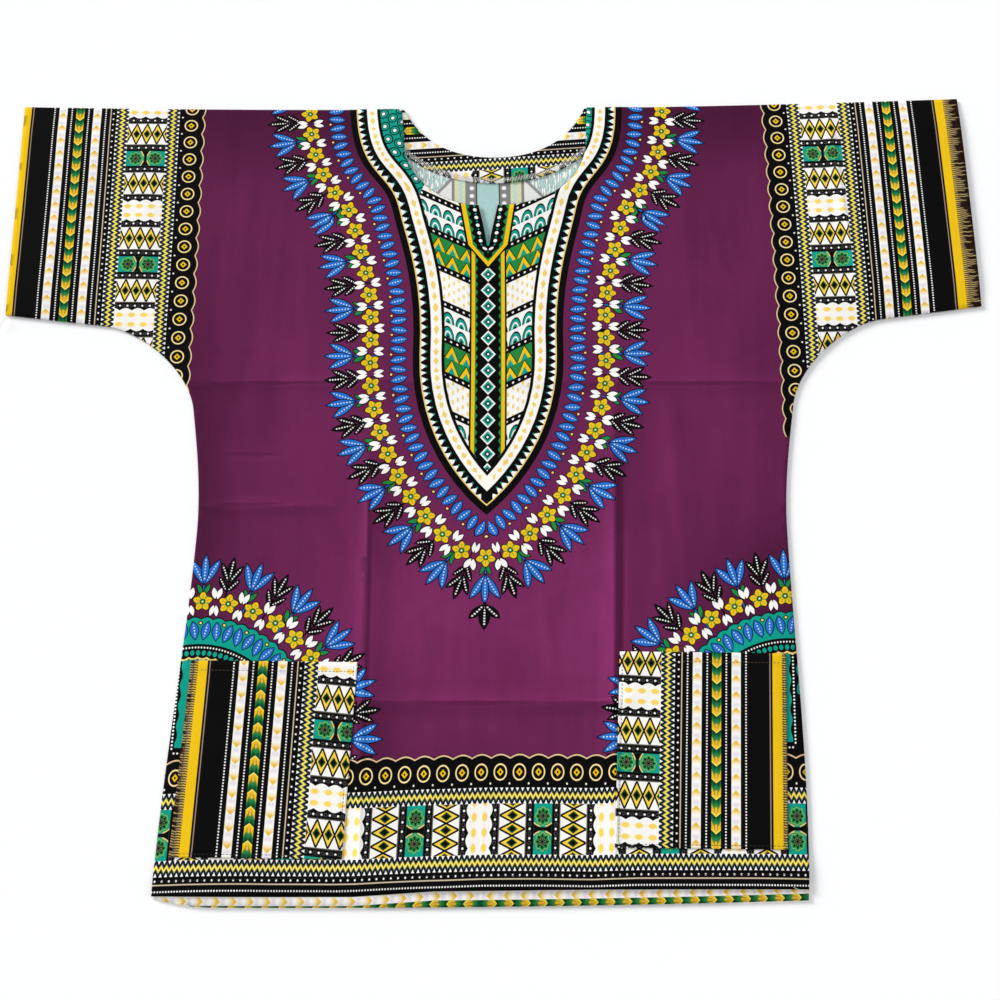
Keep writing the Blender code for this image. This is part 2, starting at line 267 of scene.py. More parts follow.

# %% [markdown]
# ## Small creases
# The stored folds alone would look ironed. Real cotton also keeps faint troughs and ridges that
# wander, part, and die out. They are listed one by one, each with its own path, depth and width,
# and no two alike. A last, very low swell keeps the stretches between them from being flat.

# %% Creases listed one by one
# (path on the table), height in mm (negative for a trough), half width in mm
CREASES = [
    ([(-0.262, 0.0885), (-0.150, 0.0900), (-0.030, 0.0915)], -0.55, 2.2),
    ([(0.110, 0.0895), (0.190, 0.0885), (0.286, 0.0900)], -0.50, 2.4),
    ([(-0.120, 0.0780), (-0.060, 0.0810), (0.020, 0.0805)], 0.30, 5.0),
    ([(-0.254, 0.0170), (-0.222, 0.0160), (-0.186, 0.0165)], -0.40, 2.5),
    ([(-0.266, -0.0330), (-0.225, -0.0335), (-0.182, -0.0325)], -0.55, 1.8),
    ([(-0.112, -0.2150), (-0.020, -0.2190), (0.060, -0.2165), (0.112, -0.2185)], -0.45, 2.6),
    ([(-0.1085, -0.0200), (-0.1070, -0.1500), (-0.1085, -0.3780)], -0.55, 2.2),
    ([(0.1280, -0.0030), (0.1245, -0.1200), (0.1195, -0.2160), (0.1160, -0.3780)], -0.70, 2.6),
    ([(-0.243, 0.0890), (-0.241, 0.0400), (-0.237, -0.0250)], 0.55, 7.0),
    ([(-0.196, 0.0860), (-0.194, 0.0300), (-0.190, -0.0800)], -0.45, 8.0),
    ([(-0.175, 0.1650), (-0.176, 0.0900), (-0.168, 0.0100)], 0.50, 9.0),
    ([(-0.053, -0.2180), (-0.052, -0.3000), (-0.050, -0.3740)], 0.35, 6.0),
    ([(-0.042, -0.1200), (-0.043, -0.1900), (-0.041, -0.2400)], -0.40, 7.0),
    ([(0.046, -0.1000), (0.052, -0.1500), (0.061, -0.2160)], 0.55, 7.0),
    ([(0.060, -0.2200), (0.056, -0.2900), (0.058, -0.3700)], -0.30, 6.0),
    ([(-0.078, -0.1650), (-0.050, -0.1320), (-0.012, -0.1180)], -0.35, 6.5),
    ([(-0.090, -0.1100), (-0.064, -0.1480), (-0.052, -0.2050)], 0.30, 7.0),
    ([(0.012, -0.1450), (0.040, -0.1320), (0.088, -0.0980)], 0.30, 6.5),
    ([(0.189, 0.2700), (0.187, 0.2200), (0.184, 0.1640)], -0.45, 7.0),
    ([(0.212, 0.2830), (0.226, 0.2350), (0.230, 0.1900)], 0.45, 6.0),
    ([(0.244, 0.2850), (0.228, 0.2450), (0.222, 0.2050)], 0.35, 5.0),
    ([(0.261, 0.2880), (0.257, 0.1200), (0.246, -0.0400), (0.240, -0.1250)], 0.50, 9.0),
    ([(0.169, 0.0930), (0.173, 0.0100), (0.181, -0.0900)], 0.55, 8.0),
    ([(0.150, 0.0700), (0.151, -0.0200), (0.144, -0.0800)], -0.40, 9.0),
    ([(0.205, 0.0800), (0.211, 0.0100), (0.206, -0.0700)], -0.40, 8.0),
    ([(-0.262, 0.3300), (-0.259, 0.2600), (-0.262, 0.1900)], 0.40, 7.0),
    ([(-0.215, 0.2900), (-0.219, 0.2300), (-0.214, 0.1800)], -0.45, 7.0),
    ([(-0.188, 0.2500), (-0.182, 0.2000), (-0.186, 0.1500)], 0.35, 6.0),
    ([(-0.275, 0.1300), (-0.250, 0.1180), (-0.214, 0.1230)], -0.35, 6.0),
    ([(0.280, 0.1380), (0.254, 0.1180), (0.222, 0.1120)], -0.35, 6.0),
    ([(0.276, 0.0600), (0.250, 0.0500), (0.226, 0.0560)], 0.30, 6.0),
    ([(-0.392, 0.3800), (-0.397, 0.3000), (-0.402, 0.2000)], -0.35, 7.0),
    ([(-0.431, 0.3000), (-0.436, 0.2300), (-0.441, 0.1650)], 0.35, 7.0),
    ([(0.352, 0.3860), (0.357, 0.3000), (0.364, 0.1900)], -0.55, 2.6),
    ([(0.420, 0.3500), (0.427, 0.2600), (0.431, 0.1800)], 0.35, 8.0),
    ([(0.392, 0.3300), (0.396, 0.2700), (0.404, 0.2100)], -0.30, 7.0),
    ([(-0.186, -0.1500), (-0.190, -0.2300), (-0.195, -0.3400)], -0.25, 8.0),
    ([(0.196, -0.1500), (0.193, -0.2400), (0.186, -0.3400)], 0.25, 8.0),
    ([(-0.276, -0.1800), (-0.200, -0.1890), (-0.120, -0.1860)], 0.30, 5.0),
    ([(0.125, -0.1800), (0.200, -0.1850), (0.270, -0.1800)], 0.30, 5.0),
]
CREASE_BENDS, CREASE_FADE, CREASE_REACH = 4, 0.3, 3  # steps, share of the length, half widths
# (how fast it turns across the table and up it, phase, height in mm)
SWELL = (
    (31.0, 17.0, 0.6, 0.11), (-23.0, 41.0, 2.1, 0.10),
    (67.0, -29.0, 4.0, 0.05), (52.0, 83.0, 1.3, 0.04),
)


def crease_height(x, y):
    """The hand-placed creases and the low swell, in metres."""
    points = np.stack([x, y], 1)
    total = np.zeros(len(x))
    for path, height, half_width in CREASES:
        path = [Vector((px, py, 0)) for px, py in path]
        runs = list(zip(path, path[1:]))
        bends = [p.lerp(q, t / CREASE_BENDS) for p, q in runs for t in range(CREASE_BENDS)]
        bends = [(p.x, p.y) for p in bends + [path[-1]]]
        gap, along, _, _ = nearest_on(points, bends, CREASE_REACH * half_width * MM)
        length = sum((q - p).length for p, q in runs)
        fade = CREASE_FADE * length
        ends = smooth(along / fade) * smooth((length - along) / fade)
        total += height * MM * ends * np.exp(-(gap / (half_width * MM)) ** 2)
    for turn_x, turn_y, phase, height in SWELL:
        wave = height * MM * np.sin(turn_x * x + turn_y * y + phase)
        total += wave * np.sin(turn_y * x * 0.7 - turn_x * y)
    return total


print("small creases:", len(CREASES), "waves in the swell:", len(SWELL))

# %% Heights of each layer's lower side
def above_turn(x, y):
    """Distance above the straight top edge of the back's turned-up hem."""
    return y - (BACK_HEM_Y + HEM_TURN + RISE[1] * x)


def back_top(x, y):
    return CLOTH * (2 - smooth(above_turn(x, y) / HEM_TURN_STEP))


FOLD_MARGIN, CREASE_MARGIN = 0.015, 0.030  # they have died out at a seam, and are full this far in


def front_underside(x, y):
    points = np.stack([x, y], 1)
    from_seam = np.min([nearest_on(points, seam, LOFT_REACH)[0] for seam in SEAMS], axis=0)
    loft = LOFT * smooth(from_seam / LOFT_REACH)
    from_facing = nearest_on(points, FACING_LINE, FACING_COVER + STEP_REACH)[0]
    over_facing = 1 - smooth((from_facing - FACING_COVER) / STEP_REACH)
    over_hem = 1 - smooth((above_turn(x, y) - HEM_TURN_STEP) / STEP_REACH)
    step = (CLOTH + GAP) * np.maximum(over_facing, over_hem)
    folds = sum(fold_height(x, y, fold) for fold in FOLDS.values())
    relief = folds * smooth(from_seam / FOLD_MARGIN)
    relief += crease_height(x, y) * smooth(from_seam / CREASE_MARGIN)
    # Creases may dip, but never into the layer below.
    return CLOTH + GAP + step + np.maximum(loft + relief, 0)


def pocket_underside(x, y):
    return front_underside(x, y) + CLOTH + GAP


middle_height = float(front_underside(np.zeros(1), np.zeros(1))[0]) / MM
print("the front lies", round(middle_height, 2), "mm up in the middle")

# %% Wear, and painted light and shade
def wear_and_shade_of(x, y, step=2.4 * MM, most=0.22, full_bend=0.5 * MM):
    """Cloth is a little paler along ridges, as wear and painted light, and darker in troughs,
    as painted shade: how much, at each place.
    """
    bend = 4 * front_underside(x, y)
    for across, up in ((step, 0), (-step, 0), (0, step), (0, -step)):
        bend = bend - front_underside(x + across, y + up)
    return most * np.tanh(bend / full_bend)


# (middle on the table, reach across and up it, strength): where the plain ground has painted
# shade, below zero, or painted light, in metres and as a logarithm
LIGHT_AND_SHADE_PATCHES = [
    ((-0.300, -0.040), (0.055, 0.200), -0.85), ((0.000, 0.400), (0.700, 0.072), -0.80),
    ((-0.052, -0.134), (0.080, 0.085), 0.40), ((0.094, -0.129), (0.066, 0.090), 0.36),
    ((0.265, -0.134), (0.078, 0.095), -0.62), ((-0.105, -0.265), (0.030, 0.060), -0.20),
    ((-0.170, 0.060), (0.050, 0.080), 0.12), ((0.200, 0.010), (0.060, 0.120), 0.14),
    ((0.010, -0.300), (0.100, 0.040), -0.12), ((0.290, 0.130), (0.050, 0.060), -0.15),
]
# fold: how much painted light it gets before its crest, and how much painted shade after
FOLD_SHADES = {
    "left_upright": (0.20, 0.34), "right_upright": (0.16, 0.46), "hip_level": (0.12, 0.14),
    "chest_level": (0.05, 0.14), "waist_level": (0.08, 0.14),
}
PALER_REACH, DARKER_REACH = 0.026, 0.018


def light_and_shade_of(x, y):
    """How much of its brightness the plain ground keeps at each place, under painted light and
    shade.
    """
    total = sum(
        strength * np.exp(-((x - middle[0]) / reach[0]) ** 2 - ((y - middle[1]) / reach[1]) ** 2)
        for middle, reach, strength in LIGHT_AND_SHADE_PATCHES)
    for name, (paler, darker) in FOLD_SHADES.items():
        across, ends = beside_fold(x, y, FOLDS[name])
        before, after = np.exp(-across / PALER_REACH), np.exp(across / DARKER_REACH)
        total = total + np.where(across > 0, paler * before, -darker * after) * ends
    return np.exp(total)


# patches of painted light and shade on the ground, and folds with painted light and shade beside
# them
print("patches of dye:", len(LIGHT_AND_SHADE_PATCHES), "shaded folds:", len(FOLD_SHADES))

# %% [markdown]
# ## Cloth as a mesh
# Each cut becomes a regular grid of points inside its outline, joined into triangles that keep
# the outline's own edges. A Delaunay triangulation does that in one call. The sheet is then
# given its thickness: an upper side, a lower side and a rounded rim between them.

# %% Fill a cut with triangles
LINE_SPACING, CLEARANCE, MERGE = 0.7, 0.55, 1e-6  # shares of the grid's spacing, and metres


def spaced(points, spacing):
    """The same open chain, with points added so that none is further on than spacing."""
    chain = []
    for (ax, ay), (bx, by) in zip(points, points[1:]):
        steps = max(1, math.ceil(math.hypot(bx - ax, by - ay) / spacing))
        chain += [(ax + (bx - ax) * i / steps, ay + (by - ay) * i / steps) for i in range(steps)]
    return chain + [points[-1]]


def inside(points, loop):
    """Which points lie inside a closed outline."""
    x, y = points[:, 0], points[:, 1]
    crossings = np.zeros(len(points), int)
    for (ax, ay), (bx, by) in zip(loop, loop[1:] + loop[:1]):
        if ay == by:
            continue
        level = (y >= min(ay, by)) & (y < max(ay, by))
        crossings += level & (x < ax + (y - ay) * (bx - ax) / (by - ay))
    return crossings % 2 == 1


def filled(outline, spacing, lines=()):
    """Points and triangles of a cut. Each line gets edges of its own in the mesh."""
    rim = spaced(outline + outline[:1], spacing)[:-1]
    points = list(rim)
    edges = [(i, (i + 1) % len(rim)) for i in range(len(rim))]
    for line in lines:
        chain = spaced(line, spacing * LINE_SPACING)
        edges += [(len(points) + i, len(points) + i + 1) for i in range(len(chain) - 1)]
        points += chain
    taken = kdtree.KDTree(len(points))
    for i, (x, y) in enumerate(points):
        taken.insert((x, y, 0), i)
    taken.balance()
    low, high = np.min(rim, 0), np.max(rim, 0)
    counts = np.round((high - low) / spacing).astype(int) + 1
    axes = [np.linspace(low[i], high[i], counts[i]) for i in (0, 1)]
    grid = np.stack(np.meshgrid(*axes), 2).reshape(-1, 2)
    grid = grid[inside(grid, outline)]
    points += [(x, y) for x, y in grid if taken.find((x, y, 0))[2] > CLEARANCE * spacing]
    made = delaunay_2d_cdt([Vector(p) for p in points], edges, [], 0, MERGE, False)
    places, faces = np.array([(p.x, p.y) for p in made[0]]), np.array([list(f) for f in made[2]])
    faces = faces[inside(places[faces].mean(1), rim)]
    used = np.unique(faces)
    renumbered = np.full(len(places), -1)
    renumbered[used] = np.arange(len(used))
    return places[used], renumbered[faces]


trial = filled([(0, 0), (1, 0), (1, 1), (0, 1)], 0.25)[1]
print("a square filled at a quarter of its side has", len(trial), "triangles")

# %% Give a cut its thickness
RIM_BULGE = 0.35 * MM


def new_object(name, data):
    """An object for a mesh, a light or a camera, linked into the scene."""
    made = bpy.data.objects.new(name, data)
    bpy.context.scene.collection.objects.link(made)
    return made


def loop_round(faces):
    """The directed edges that only one triangle has: the rim, with the cloth on its left."""
    pairs = np.concatenate([faces[:, [0, 1]], faces[:, [1, 2]], faces[:, [2, 0]]])
    seen = {tuple(pair) for pair in pairs}
    return np.array([pair for pair in seen if pair[::-1] not in seen])


def thick_sheet(name, cut, faces, place, lower_side, thickness):
    """A closed sheet: lower side, upper side and a rounded rim. Returns the object and, for
    each vertex, which point of the cut it is and its layer (0 lower, 1 upper, 0.5 rim)."""
    count = len(cut)
    laid = place(cut)
    if np.cross(*(cut[faces[0][[1, 2]]] - cut[faces[0][0]])) < 0:
        faces = faces[:, ::-1]
    base = lower_side(laid[:, 0], laid[:, 1])
    top = base + (thickness(laid[:, 0], laid[:, 1]) if callable(thickness) else thickness)
    rim = loop_round(faces)
    outward = np.zeros((count, 2))
    for a, b in rim:
        run = laid[b] - laid[a]
        outward[[a, b]] += np.array((run[1], -run[0])) / np.hypot(*run)
    edge = np.unique(rim)
    outward[edge] /= np.hypot(*outward[edge].T)[:, None]
    middle = np.full(count, -1)
    middle[edge] = np.arange(len(edge)) + 2 * count
    flat = laid - MIDDLE
    vertices = np.concatenate([
        np.column_stack([flat, base]),
        np.column_stack([flat, top]),
        np.column_stack([flat[edge] + outward[edge] * RIM_BULGE, (base[edge] + top[edge]) / 2]),
    ])
    sides = [quad for a, b in rim for quad in (
        (a, b, middle[b], middle[a]), (middle[a], middle[b], b + count, a + count))]
    mesh = bpy.data.meshes.new(name)
    both = faces[:, ::-1].tolist() + (faces + count).tolist()
    mesh.from_pydata(vertices.tolist(), [], both + sides)
    mesh.shade_smooth()
    which = np.concatenate([np.arange(count), np.arange(count), edge])
    layers = np.concatenate([np.zeros(count), np.ones(count), np.full(len(edge), 0.5)])
    print(name, "has", len(vertices), "points and", len(mesh.polygons), "faces")
    return new_object(name, mesh), which, layers

# %% [markdown]
# ## Where the print lies
# The print is worked out from places on the cut, in millimetres. A border needs to know how far
# out from its scalloped edge it is and how far along. A ring of flowers needs the distance from
# the shape it surrounds, and the length along the ring itself. These numbers change smoothly,
# so they are kept on the mesh's points and the shader reads them.

# %% Places of the borders
SCALLOP = {"left sleeve": -291.8, "right sleeve": 275.3, "hem": -263.0}
CREAM_CENTRE = {"left sleeve": 273.4, "right sleeve": 272.9, "hem": -3.8, "facing": -31.8}
BLOCK_PERIOD, HEM_PERIOD, HEM_WIDENING, HEM_ARCH = 118.0, 111.4, 1.10, 8.8e-5
RING_PITCH, HEM_RING_PITCH = 19.57, 17.9  # of the row of rings, along the border
UNDERARM_Y, HEM_Y = 30.0, -100            # borders: the sleeves' lie above, the hem's below
CORNER_X, CORNER_Y = 60, -60              # the corner fans lie past these
LEFT_CUFF = 187.4                         # the left cuff ends within the yellow selvedge
FACING_START, FACING_LEVEL, FACING_TILT = 80.1, 322.2, 0.06
# side: where in the border the pocket's middle is, out and along, then how much the blocks lean
# and the stripes turn
POCKET_PRINT = {1: (116.9, 43.3, 0.045, 0.0), -1: (120.8, 88.7, 0.09, -0.012)}
# how far the hem's border hangs below its even line, in mm, from place to place across
HEM_SAG = ((-283, -1.3), (-257, -1.1), (-231, -0.6), (-205, 0.2), (-179, 1.3), (-153, 2.1),
           (-127, 2.9), (-108, 3.0), (-81, 2.1), (-55, 1.5), (-30, 1.2), (0, 0.5), (50, 0.7),
           (95, 1.4), (134, 0.1), (190, -0.4), (238, -1.0), (275, -1.2))


def sleeve_border(x, y):
    """(out, along, ring pitch) of the borders down both sleeves."""
    left, left_out = x < 0, np.minimum(SCALLOP["left sleeve"] - x, LEFT_CUFF)
    out = np.where(left, left_out, x - SCALLOP["right sleeve"])
    along = y - np.where(left, CREAM_CENTRE["left sleeve"], CREAM_CENTRE["right sleeve"])
    return np.stack([out, along, np.full(len(x), RING_PITCH)], 1)


def hem_border(x, y):
    sag = np.interp(x, *np.transpose(HEM_SAG))
    out = (SCALLOP["hem"] - HEM_ARCH * x * x - sag - y) / HEM_WIDENING
    along = (x - CREAM_CENTRE["hem"]) * BLOCK_PERIOD / HEM_PERIOD
    return np.stack([out, along, np.full(len(x), HEM_RING_PITCH)], 1)


def body_border(x, y):
    return np.where((y < HEM_Y)[:, None], hem_border(x, y), sleeve_border(x, y))


def facing_border(x, y):
    """The facing is cut across a border, so its stripes run level, with a slight tilt."""
    out = FACING_START + (y - FACING_LEVEL) - FACING_TILT * x
    return np.stack([out, x - CREAM_CENTRE["facing"], np.full(len(x), RING_PITCH)], 1)


def pocket_border(side):
    """The pockets are cut from the borders too, each with a tilt of its own. side is 1 on the
    right and -1 on the left."""
    start, cream, lean, turned = POCKET_PRINT[side]

    def fields(x, y):
        out = start + side * x + turned * y
        along = side * (y + lean * x - cream)
        return np.stack([out, along, np.full(len(x), RING_PITCH)], 1)

    return fields


print("the border repeats every", BLOCK_PERIOD, "mm, and the hem's every", HEM_PERIOD, "mm")

# %% Places of the yoke, its rings and the corner fans
YOKE_AXIS, YOKE_TIP = -5.5, -43.0
YOKE_PATH = curve((0, YOKE_TIP), (38, -12), (74, 45), (73, 118), 12)
YOKE_PATH += curve((73, 118), (70, 200), (88, 240), (95, 275), 10)
YOKE_PATH += curve((95, 275), (103, 315), (135, 310), (139, 384), 12) + [(139, 384), (141, 488)]
RINGS = (14.0, 41.0, 71.0)                # distance of each ring of motifs from the yoke
FAN_CENTRES, FAN_RADIUS, FAN_REACH = ((-264.1, -252.2), (270.3, -252.2)), 86.0, 190.0
FAN_START = (0.0, 0.0, 294.0)             # whole repeats, so that a fan has no last sprig
NUDGE = 0.3                               # keeps the way out known for points on the edge itself


def yoke_fields(x, y):
    """Distance out from the yoke, and the place along each ring, counted from its tip."""
    side, half = np.sign(x - YOKE_AXIS), np.abs(x - YOKE_AXIS)
    points = np.stack([half, y], 1)
    gap, along, foot, normal = nearest_on(points, YOKE_PATH)
    edge_x = np.interp(y, [p[1] for p in YOKE_PATH], [p[0] for p in YOKE_PATH])
    sign = np.where((y < YOKE_TIP) | (half > edge_x), 1.0, -1.0)
    way = (points - foot) * sign[:, None] + NUDGE * normal
    turn = np.arctan2(way[:, 0], -way[:, 1])
    rings = [side * (along + ring * turn) for ring in RINGS]
    return gap * sign, np.stack(rings, 1)


def ring_fields(x, y):
    """The same for the corner fans where they are near, and for the yoke elsewhere."""
    edge, rings = yoke_fields(x, y)
    for centre_x, centre_y in FAN_CENTRES:
        radius = np.hypot(x - centre_x, y - centre_y)
        angle = np.arctan2(x - centre_x, y - centre_y)
        near = (radius < FAN_REACH) & (y < CORNER_Y)
        edge = np.where(near, radius - FAN_RADIUS, edge)
        fan_rings = np.stack([angle * (FAN_RADIUS + ring) for ring in RINGS], 1) + FAN_START
        rings = np.where(near[:, None], fan_rings, rings)
    return edge, rings


def store(mesh, name, values):
    """Keeps one number or three for each point of the mesh, for the shader to read."""
    kind, field = ("FLOAT", "value") if values.ndim == 1 else ("FLOAT_VECTOR", "vector")
    layer = mesh.attributes.new(name, kind, "POINT")
    layer.data.foreach_set(field, values.astype(np.float32).ravel())


def store_print(sheet, cut, which, border, with_rings, wear_and_shade=0.0, depth=1.0):
    """Stores all places of the print. The cut's third number is the wear and painted crease shade,
    and depth the painted light and shade of the plain ground.
    """
    x, y = cut[:, 0] / MM, cut[:, 1] / MM
    kept = {"cut": np.stack([x, y, wear_and_shade + x * 0], 1), "border": border(x, y)}
    kept["depth"] = depth + x * 0
    if with_rings:
        kept["edge"], kept["rings"] = ring_fields(x, y)
    for name, values in kept.items():
        store(sheet.data, name, values[which])


print("points on half the yoke's edge:", len(YOKE_PATH))

# %% [markdown]
# ## Ink by arithmetic
# A shader can draw crisp shapes from two numbers: repeat a coordinate, fold it, measure a
# distance, and ask whether that is below an edge. Written node by node this is long, so a small
# class lets us write it as a formula. Each operation adds one Math node to a node group. Lengths
# in the drawings that follow are millimetres on the cut.

# %% Formulas that build nodes
def ink(red, green, blue):
    """A colour given as 0 to 255, as the linear values that the shader wants."""
    shares = [value / 255 for value in (red, green, blue)]
    linear = [v / 12.92 if v <= 0.04045 else ((v + 0.055) / 1.055) ** 2.4 for v in shares]
    return (*linear, 1.0)


class Formula:
    """A number that changes over the cloth. Arithmetic on it adds Math nodes to its tree."""

    def __init__(self, tree, socket):
        self.tree, self.socket = tree, socket

    def math(self, operation, *others, clamp=False):
        node = self.tree.nodes.new("ShaderNodeMath")
        node.operation, node.use_clamp = operation, clamp
        for entry, value in zip(node.inputs, (self, *others)):
            plug(self.tree, value, entry)
        return Formula(self.tree, node.outputs[0])

    def __add__(self, other):
        return self.math("ADD", other)

    def __sub__(self, other):
        return self.math("SUBTRACT", other)

    def __mul__(self, other):
        return self.math("MULTIPLY", other)

    def __truediv__(self, other):
        return self.math("DIVIDE", other)

    def __and__(self, other):
        return self.math("MINIMUM", other)

    def __or__(self, other):
        return self.math("MAXIMUM", other)

    def __abs__(self):
        return self.math("ABSOLUTE")

    def from_(self, number):
        """number minus this."""
        return self.math("MULTIPLY_ADD", -1.0, number)

    def repeat(self, pitch):
        """Distance from the middle of the nearest cell, with its sign."""
        return self.math("WRAP", pitch / 2, -pitch / 2)

    def fold(self, length):
        """Rises from 0 to length and falls back again."""
        return self.math("PINGPONG", length)

    def below(self, edge, soft=0.35):
        """1 where this is less than edge, with an edge that bleeds a little, like ink."""
        if isinstance(edge, Formula):
            return (edge - self).math("MULTIPLY_ADD", 1 / soft, 0.5, clamp=True)
        return self.math("MULTIPLY_ADD", -1 / soft, edge / soft + 0.5, clamp=True)

    def above(self, edge, soft=0.35):
        if isinstance(edge, Formula):
            return edge.below(self, soft)
        return self.math("MULTIPLY_ADD", 1 / soft, 0.5 - edge / soft, clamp=True)

    def near(self, middle, half, soft=0.35):
        """1 within half of middle."""
        return abs(self - middle).below(half, soft)

# %% Linking values, and measuring
def plug(tree, value, entry):
    """Links a formula or a socket to an input, or writes a plain value on it."""
    if isinstance(value, Formula):
        tree.links.new(value.socket, entry)
    elif isinstance(value, bpy.types.NodeSocket):
        tree.links.new(value, entry)
    else:
        entry.default_value = value


def length_of(first, second):
    """Length of the vector made of two formulas."""
    joined = first.tree.nodes.new("ShaderNodeCombineXYZ")
    plug(first.tree, first, joined.inputs[0])
    plug(first.tree, second, joined.inputs[1])
    measure = first.tree.nodes.new("ShaderNodeVectorMath")
    measure.operation = "LENGTH"
    first.tree.links.new(joined.outputs[0], measure.inputs[0])
    return Formula(first.tree, measure.outputs["Value"])


def petals(across, out, count, depth):
    """A wave round a centre with that many crests, for rosettes."""
    return (across.math("ARCTAN2", out) * float(count)).math("COSINE") * depth

# %% Painting one colour over another
class Print:
    """One colour with others painted over it, each through a mask."""

    def __init__(self, tree, colour):
        self.tree, self.colour = tree, colour

    def paint(self, colour, mask):
        mix = self.tree.nodes.new("ShaderNodeMix")
        mix.data_type = "RGBA"
        plug(self.tree, mask, mix.inputs[0])
        plug(self.tree, self.colour, mix.inputs[6])
        plug(self.tree, colour, mix.inputs[7])
        self.colour = mix.outputs[2]

    def nest(self, measure, *shapes, within=None):
        """Shapes of one measure inside each other: (colour, size) of each, the widest first."""
        for colour, size in shapes:
            mask = measure.below(size)
            self.paint(colour, mask if within is None else mask & within)

    def shade(self, value):
        """Multiplies the colour by a number."""
        nodes = self.tree.nodes
        grey, mix = nodes.new("ShaderNodeCombineColor"), nodes.new("ShaderNodeMix")
        for i in range(3):
            plug(self.tree, value, grey.inputs[i])
        mix.data_type, mix.blend_type, mix.inputs[0].default_value = "RGBA", "MULTIPLY", 1.0
        plug(self.tree, self.colour, mix.inputs[6])
        plug(self.tree, grey.outputs[0], mix.inputs[7])
        self.colour = mix.outputs[2]

# %% Shader groups
def new_group(name, takes, gives):
    """An empty shader group. takes and gives pair the name of each socket with its kind."""
    group = bpy.data.node_groups.new(name, "ShaderNodeTree")
    for label, kind in takes:
        group.interface.new_socket(label, in_out="INPUT", socket_type=kind)
    for label, kind in gives:
        group.interface.new_socket(label, in_out="OUTPUT", socket_type=kind)
    entry, leave = group.nodes.new("NodeGroupInput"), group.nodes.new("NodeGroupOutput")
    return group, [Formula(group, entry.outputs[i]) for i in range(len(takes))], leave


def place_group(tree, group, **values):
    """Puts a group into a tree and fills its inputs by name."""
    node = tree.nodes.new("ShaderNodeGroup")
    node.node_tree = group
    for label, value in values.items():
        plug(tree, value, node.inputs[label.replace("_", " ")])
    return node

# %% The inks
NUMBER, COLOUR, VECTOR = "NodeSocketFloat", "NodeSocketColor", "NodeSocketVector"
BLACK, WHITE, CREAM = ink(8, 7, 8), ink(246, 244, 240), ink(246, 240, 220)
YELLOW, GOLD, AMBER = ink(236, 192, 22), ink(240, 208, 116), ink(230, 182, 54)
GREEN, LEAF_GREEN, TEAL = ink(8, 70, 42), ink(34, 132, 66), ink(14, 156, 136)
PURPLE, BLUE, LIGHT_BLUE = ink(102, 34, 77), ink(40, 108, 196), ink(196, 224, 248)
GREY, DIM_GREY, LAVENDER = ink(140, 136, 134), ink(70, 69, 71), ink(222, 214, 222)
PALE_TEAL, OLIVE, PALE_GOLD = ink(170, 205, 200), ink(112, 106, 58), ink(252, 226, 160)
SOFT_YELLOW, DARK_BLUE, PALE_GREEN = ink(244, 222, 92), ink(48, 84, 104), ink(120, 186, 110)
DEEP_OLIVE, STONE, PEARL = ink(72, 68, 48), ink(150, 146, 110), ink(250, 246, 236)
STRAW, BUFF, PEACH = ink(190, 164, 112), ink(206, 188, 156), ink(228, 194, 150)
SAND, BARK, BUTTER = ink(158, 136, 120), ink(34, 20, 10), ink(250, 226, 96)
DIAMOND_YELLOW, OVAL_YELLOW, OVAL_CREAM = ink(244, 208, 70), ink(248, 212, 92), ink(248, 238, 196)
print("formula helpers are ready")

# %% [markdown]
# ## The border print
# One border runs down both sleeves, round the hem, over the pockets and inside the neck. Going
# out from its scalloped edge it has rings on black, a zigzag, a column of blocks, the zigzag
# again, then dotted lines and three ribbons, a wide black band and a yellow selvedge that ends
# in brush strokes. Both zigzags lie evenly about the blocks and two ribbons about the middle
# one, so folding the coordinate there draws each of them only once.

# %% Border group
RING_PLACE, RING_RADIUS, RING_DOTS = 14.9, 6.2, 24.0
BLOCKS, BLOCKS_HALF, ZIGZAG, ZIGZAG_HALF, ZIGZAG_PITCH = 59.5, 19.8, 26.0, 6.2, BLOCK_PERIOD / 24
LEAVES, RIBBON_GAP, RIBBON_HALF, RIBBON_PITCH = 129.3, 17.5, 4.1, 14.6
LATTICE, DOT_PITCH, SEPARATOR, OVAL_PITCH, STROKE_PITCH = 10.6, 7.3, 16.2, 12.0, 2.2
# places along a block, from the middle of its cream part, and along the rest of the border
DIAMONDS, DIAMOND_HALF, TILE, OVALS = 30.7, 12.1, 50.7, 4.9
DOTS, DOTS_PITCH, THIN_LINE = 95.0, 6.55, 97.9
SELVEDGE_LINE, SELVEDGE, FRINGE = 177.2, 183.8, 188.0
FINE_DOTS, FINE_PITCH = (8.6, 26.3), 2.6  # from the middle of the leaves

# %% Rings and zigzags
def paint_rings(cloth, out, along):
    """A row of gold rings, each about a small lozenge, with a dot between them."""
    across, up = along.repeat(RING_PITCH), out - RING_PLACE
    cloth.paint(PALE_GOLD, length_of(across, up).near(RING_RADIUS, 0.62))
    cloth.nest(abs(across) + abs(up), (YELLOW, 3.3), (BLACK, 1.3))
    dot = length_of((along + RING_PITCH / 2).repeat(RING_PITCH), out - RING_DOTS)
    cloth.paint(CREAM, dot.below(0.85, 0.5))


def paint_zigzag(cloth, out, along):
    """A yellow zigzag between two rows of small white triangles."""
    up = abs(out - BLOCKS) - ZIGZAG
    wave = (along * (2 / ZIGZAG_PITCH)).fold(1.0)
    line = abs(up - wave * 3.7 + 1.85)
    within = up.near(0, ZIGZAG_HALF)
    cloth.paint(BLACK, within)
    cloth.paint(DARK_BLUE, line.near(2.4, 0.4, 0.9) & within)
    cloth.paint(SOFT_YELLOW, line.below(1.4, 0.6) & within)
    cloth.paint(WHITE, (up - wave * 5.0).above(3.3, 0.5) & within)
    cloth.paint(WHITE, (wave * 5.0 - up).above(8.3, 0.5) & within)

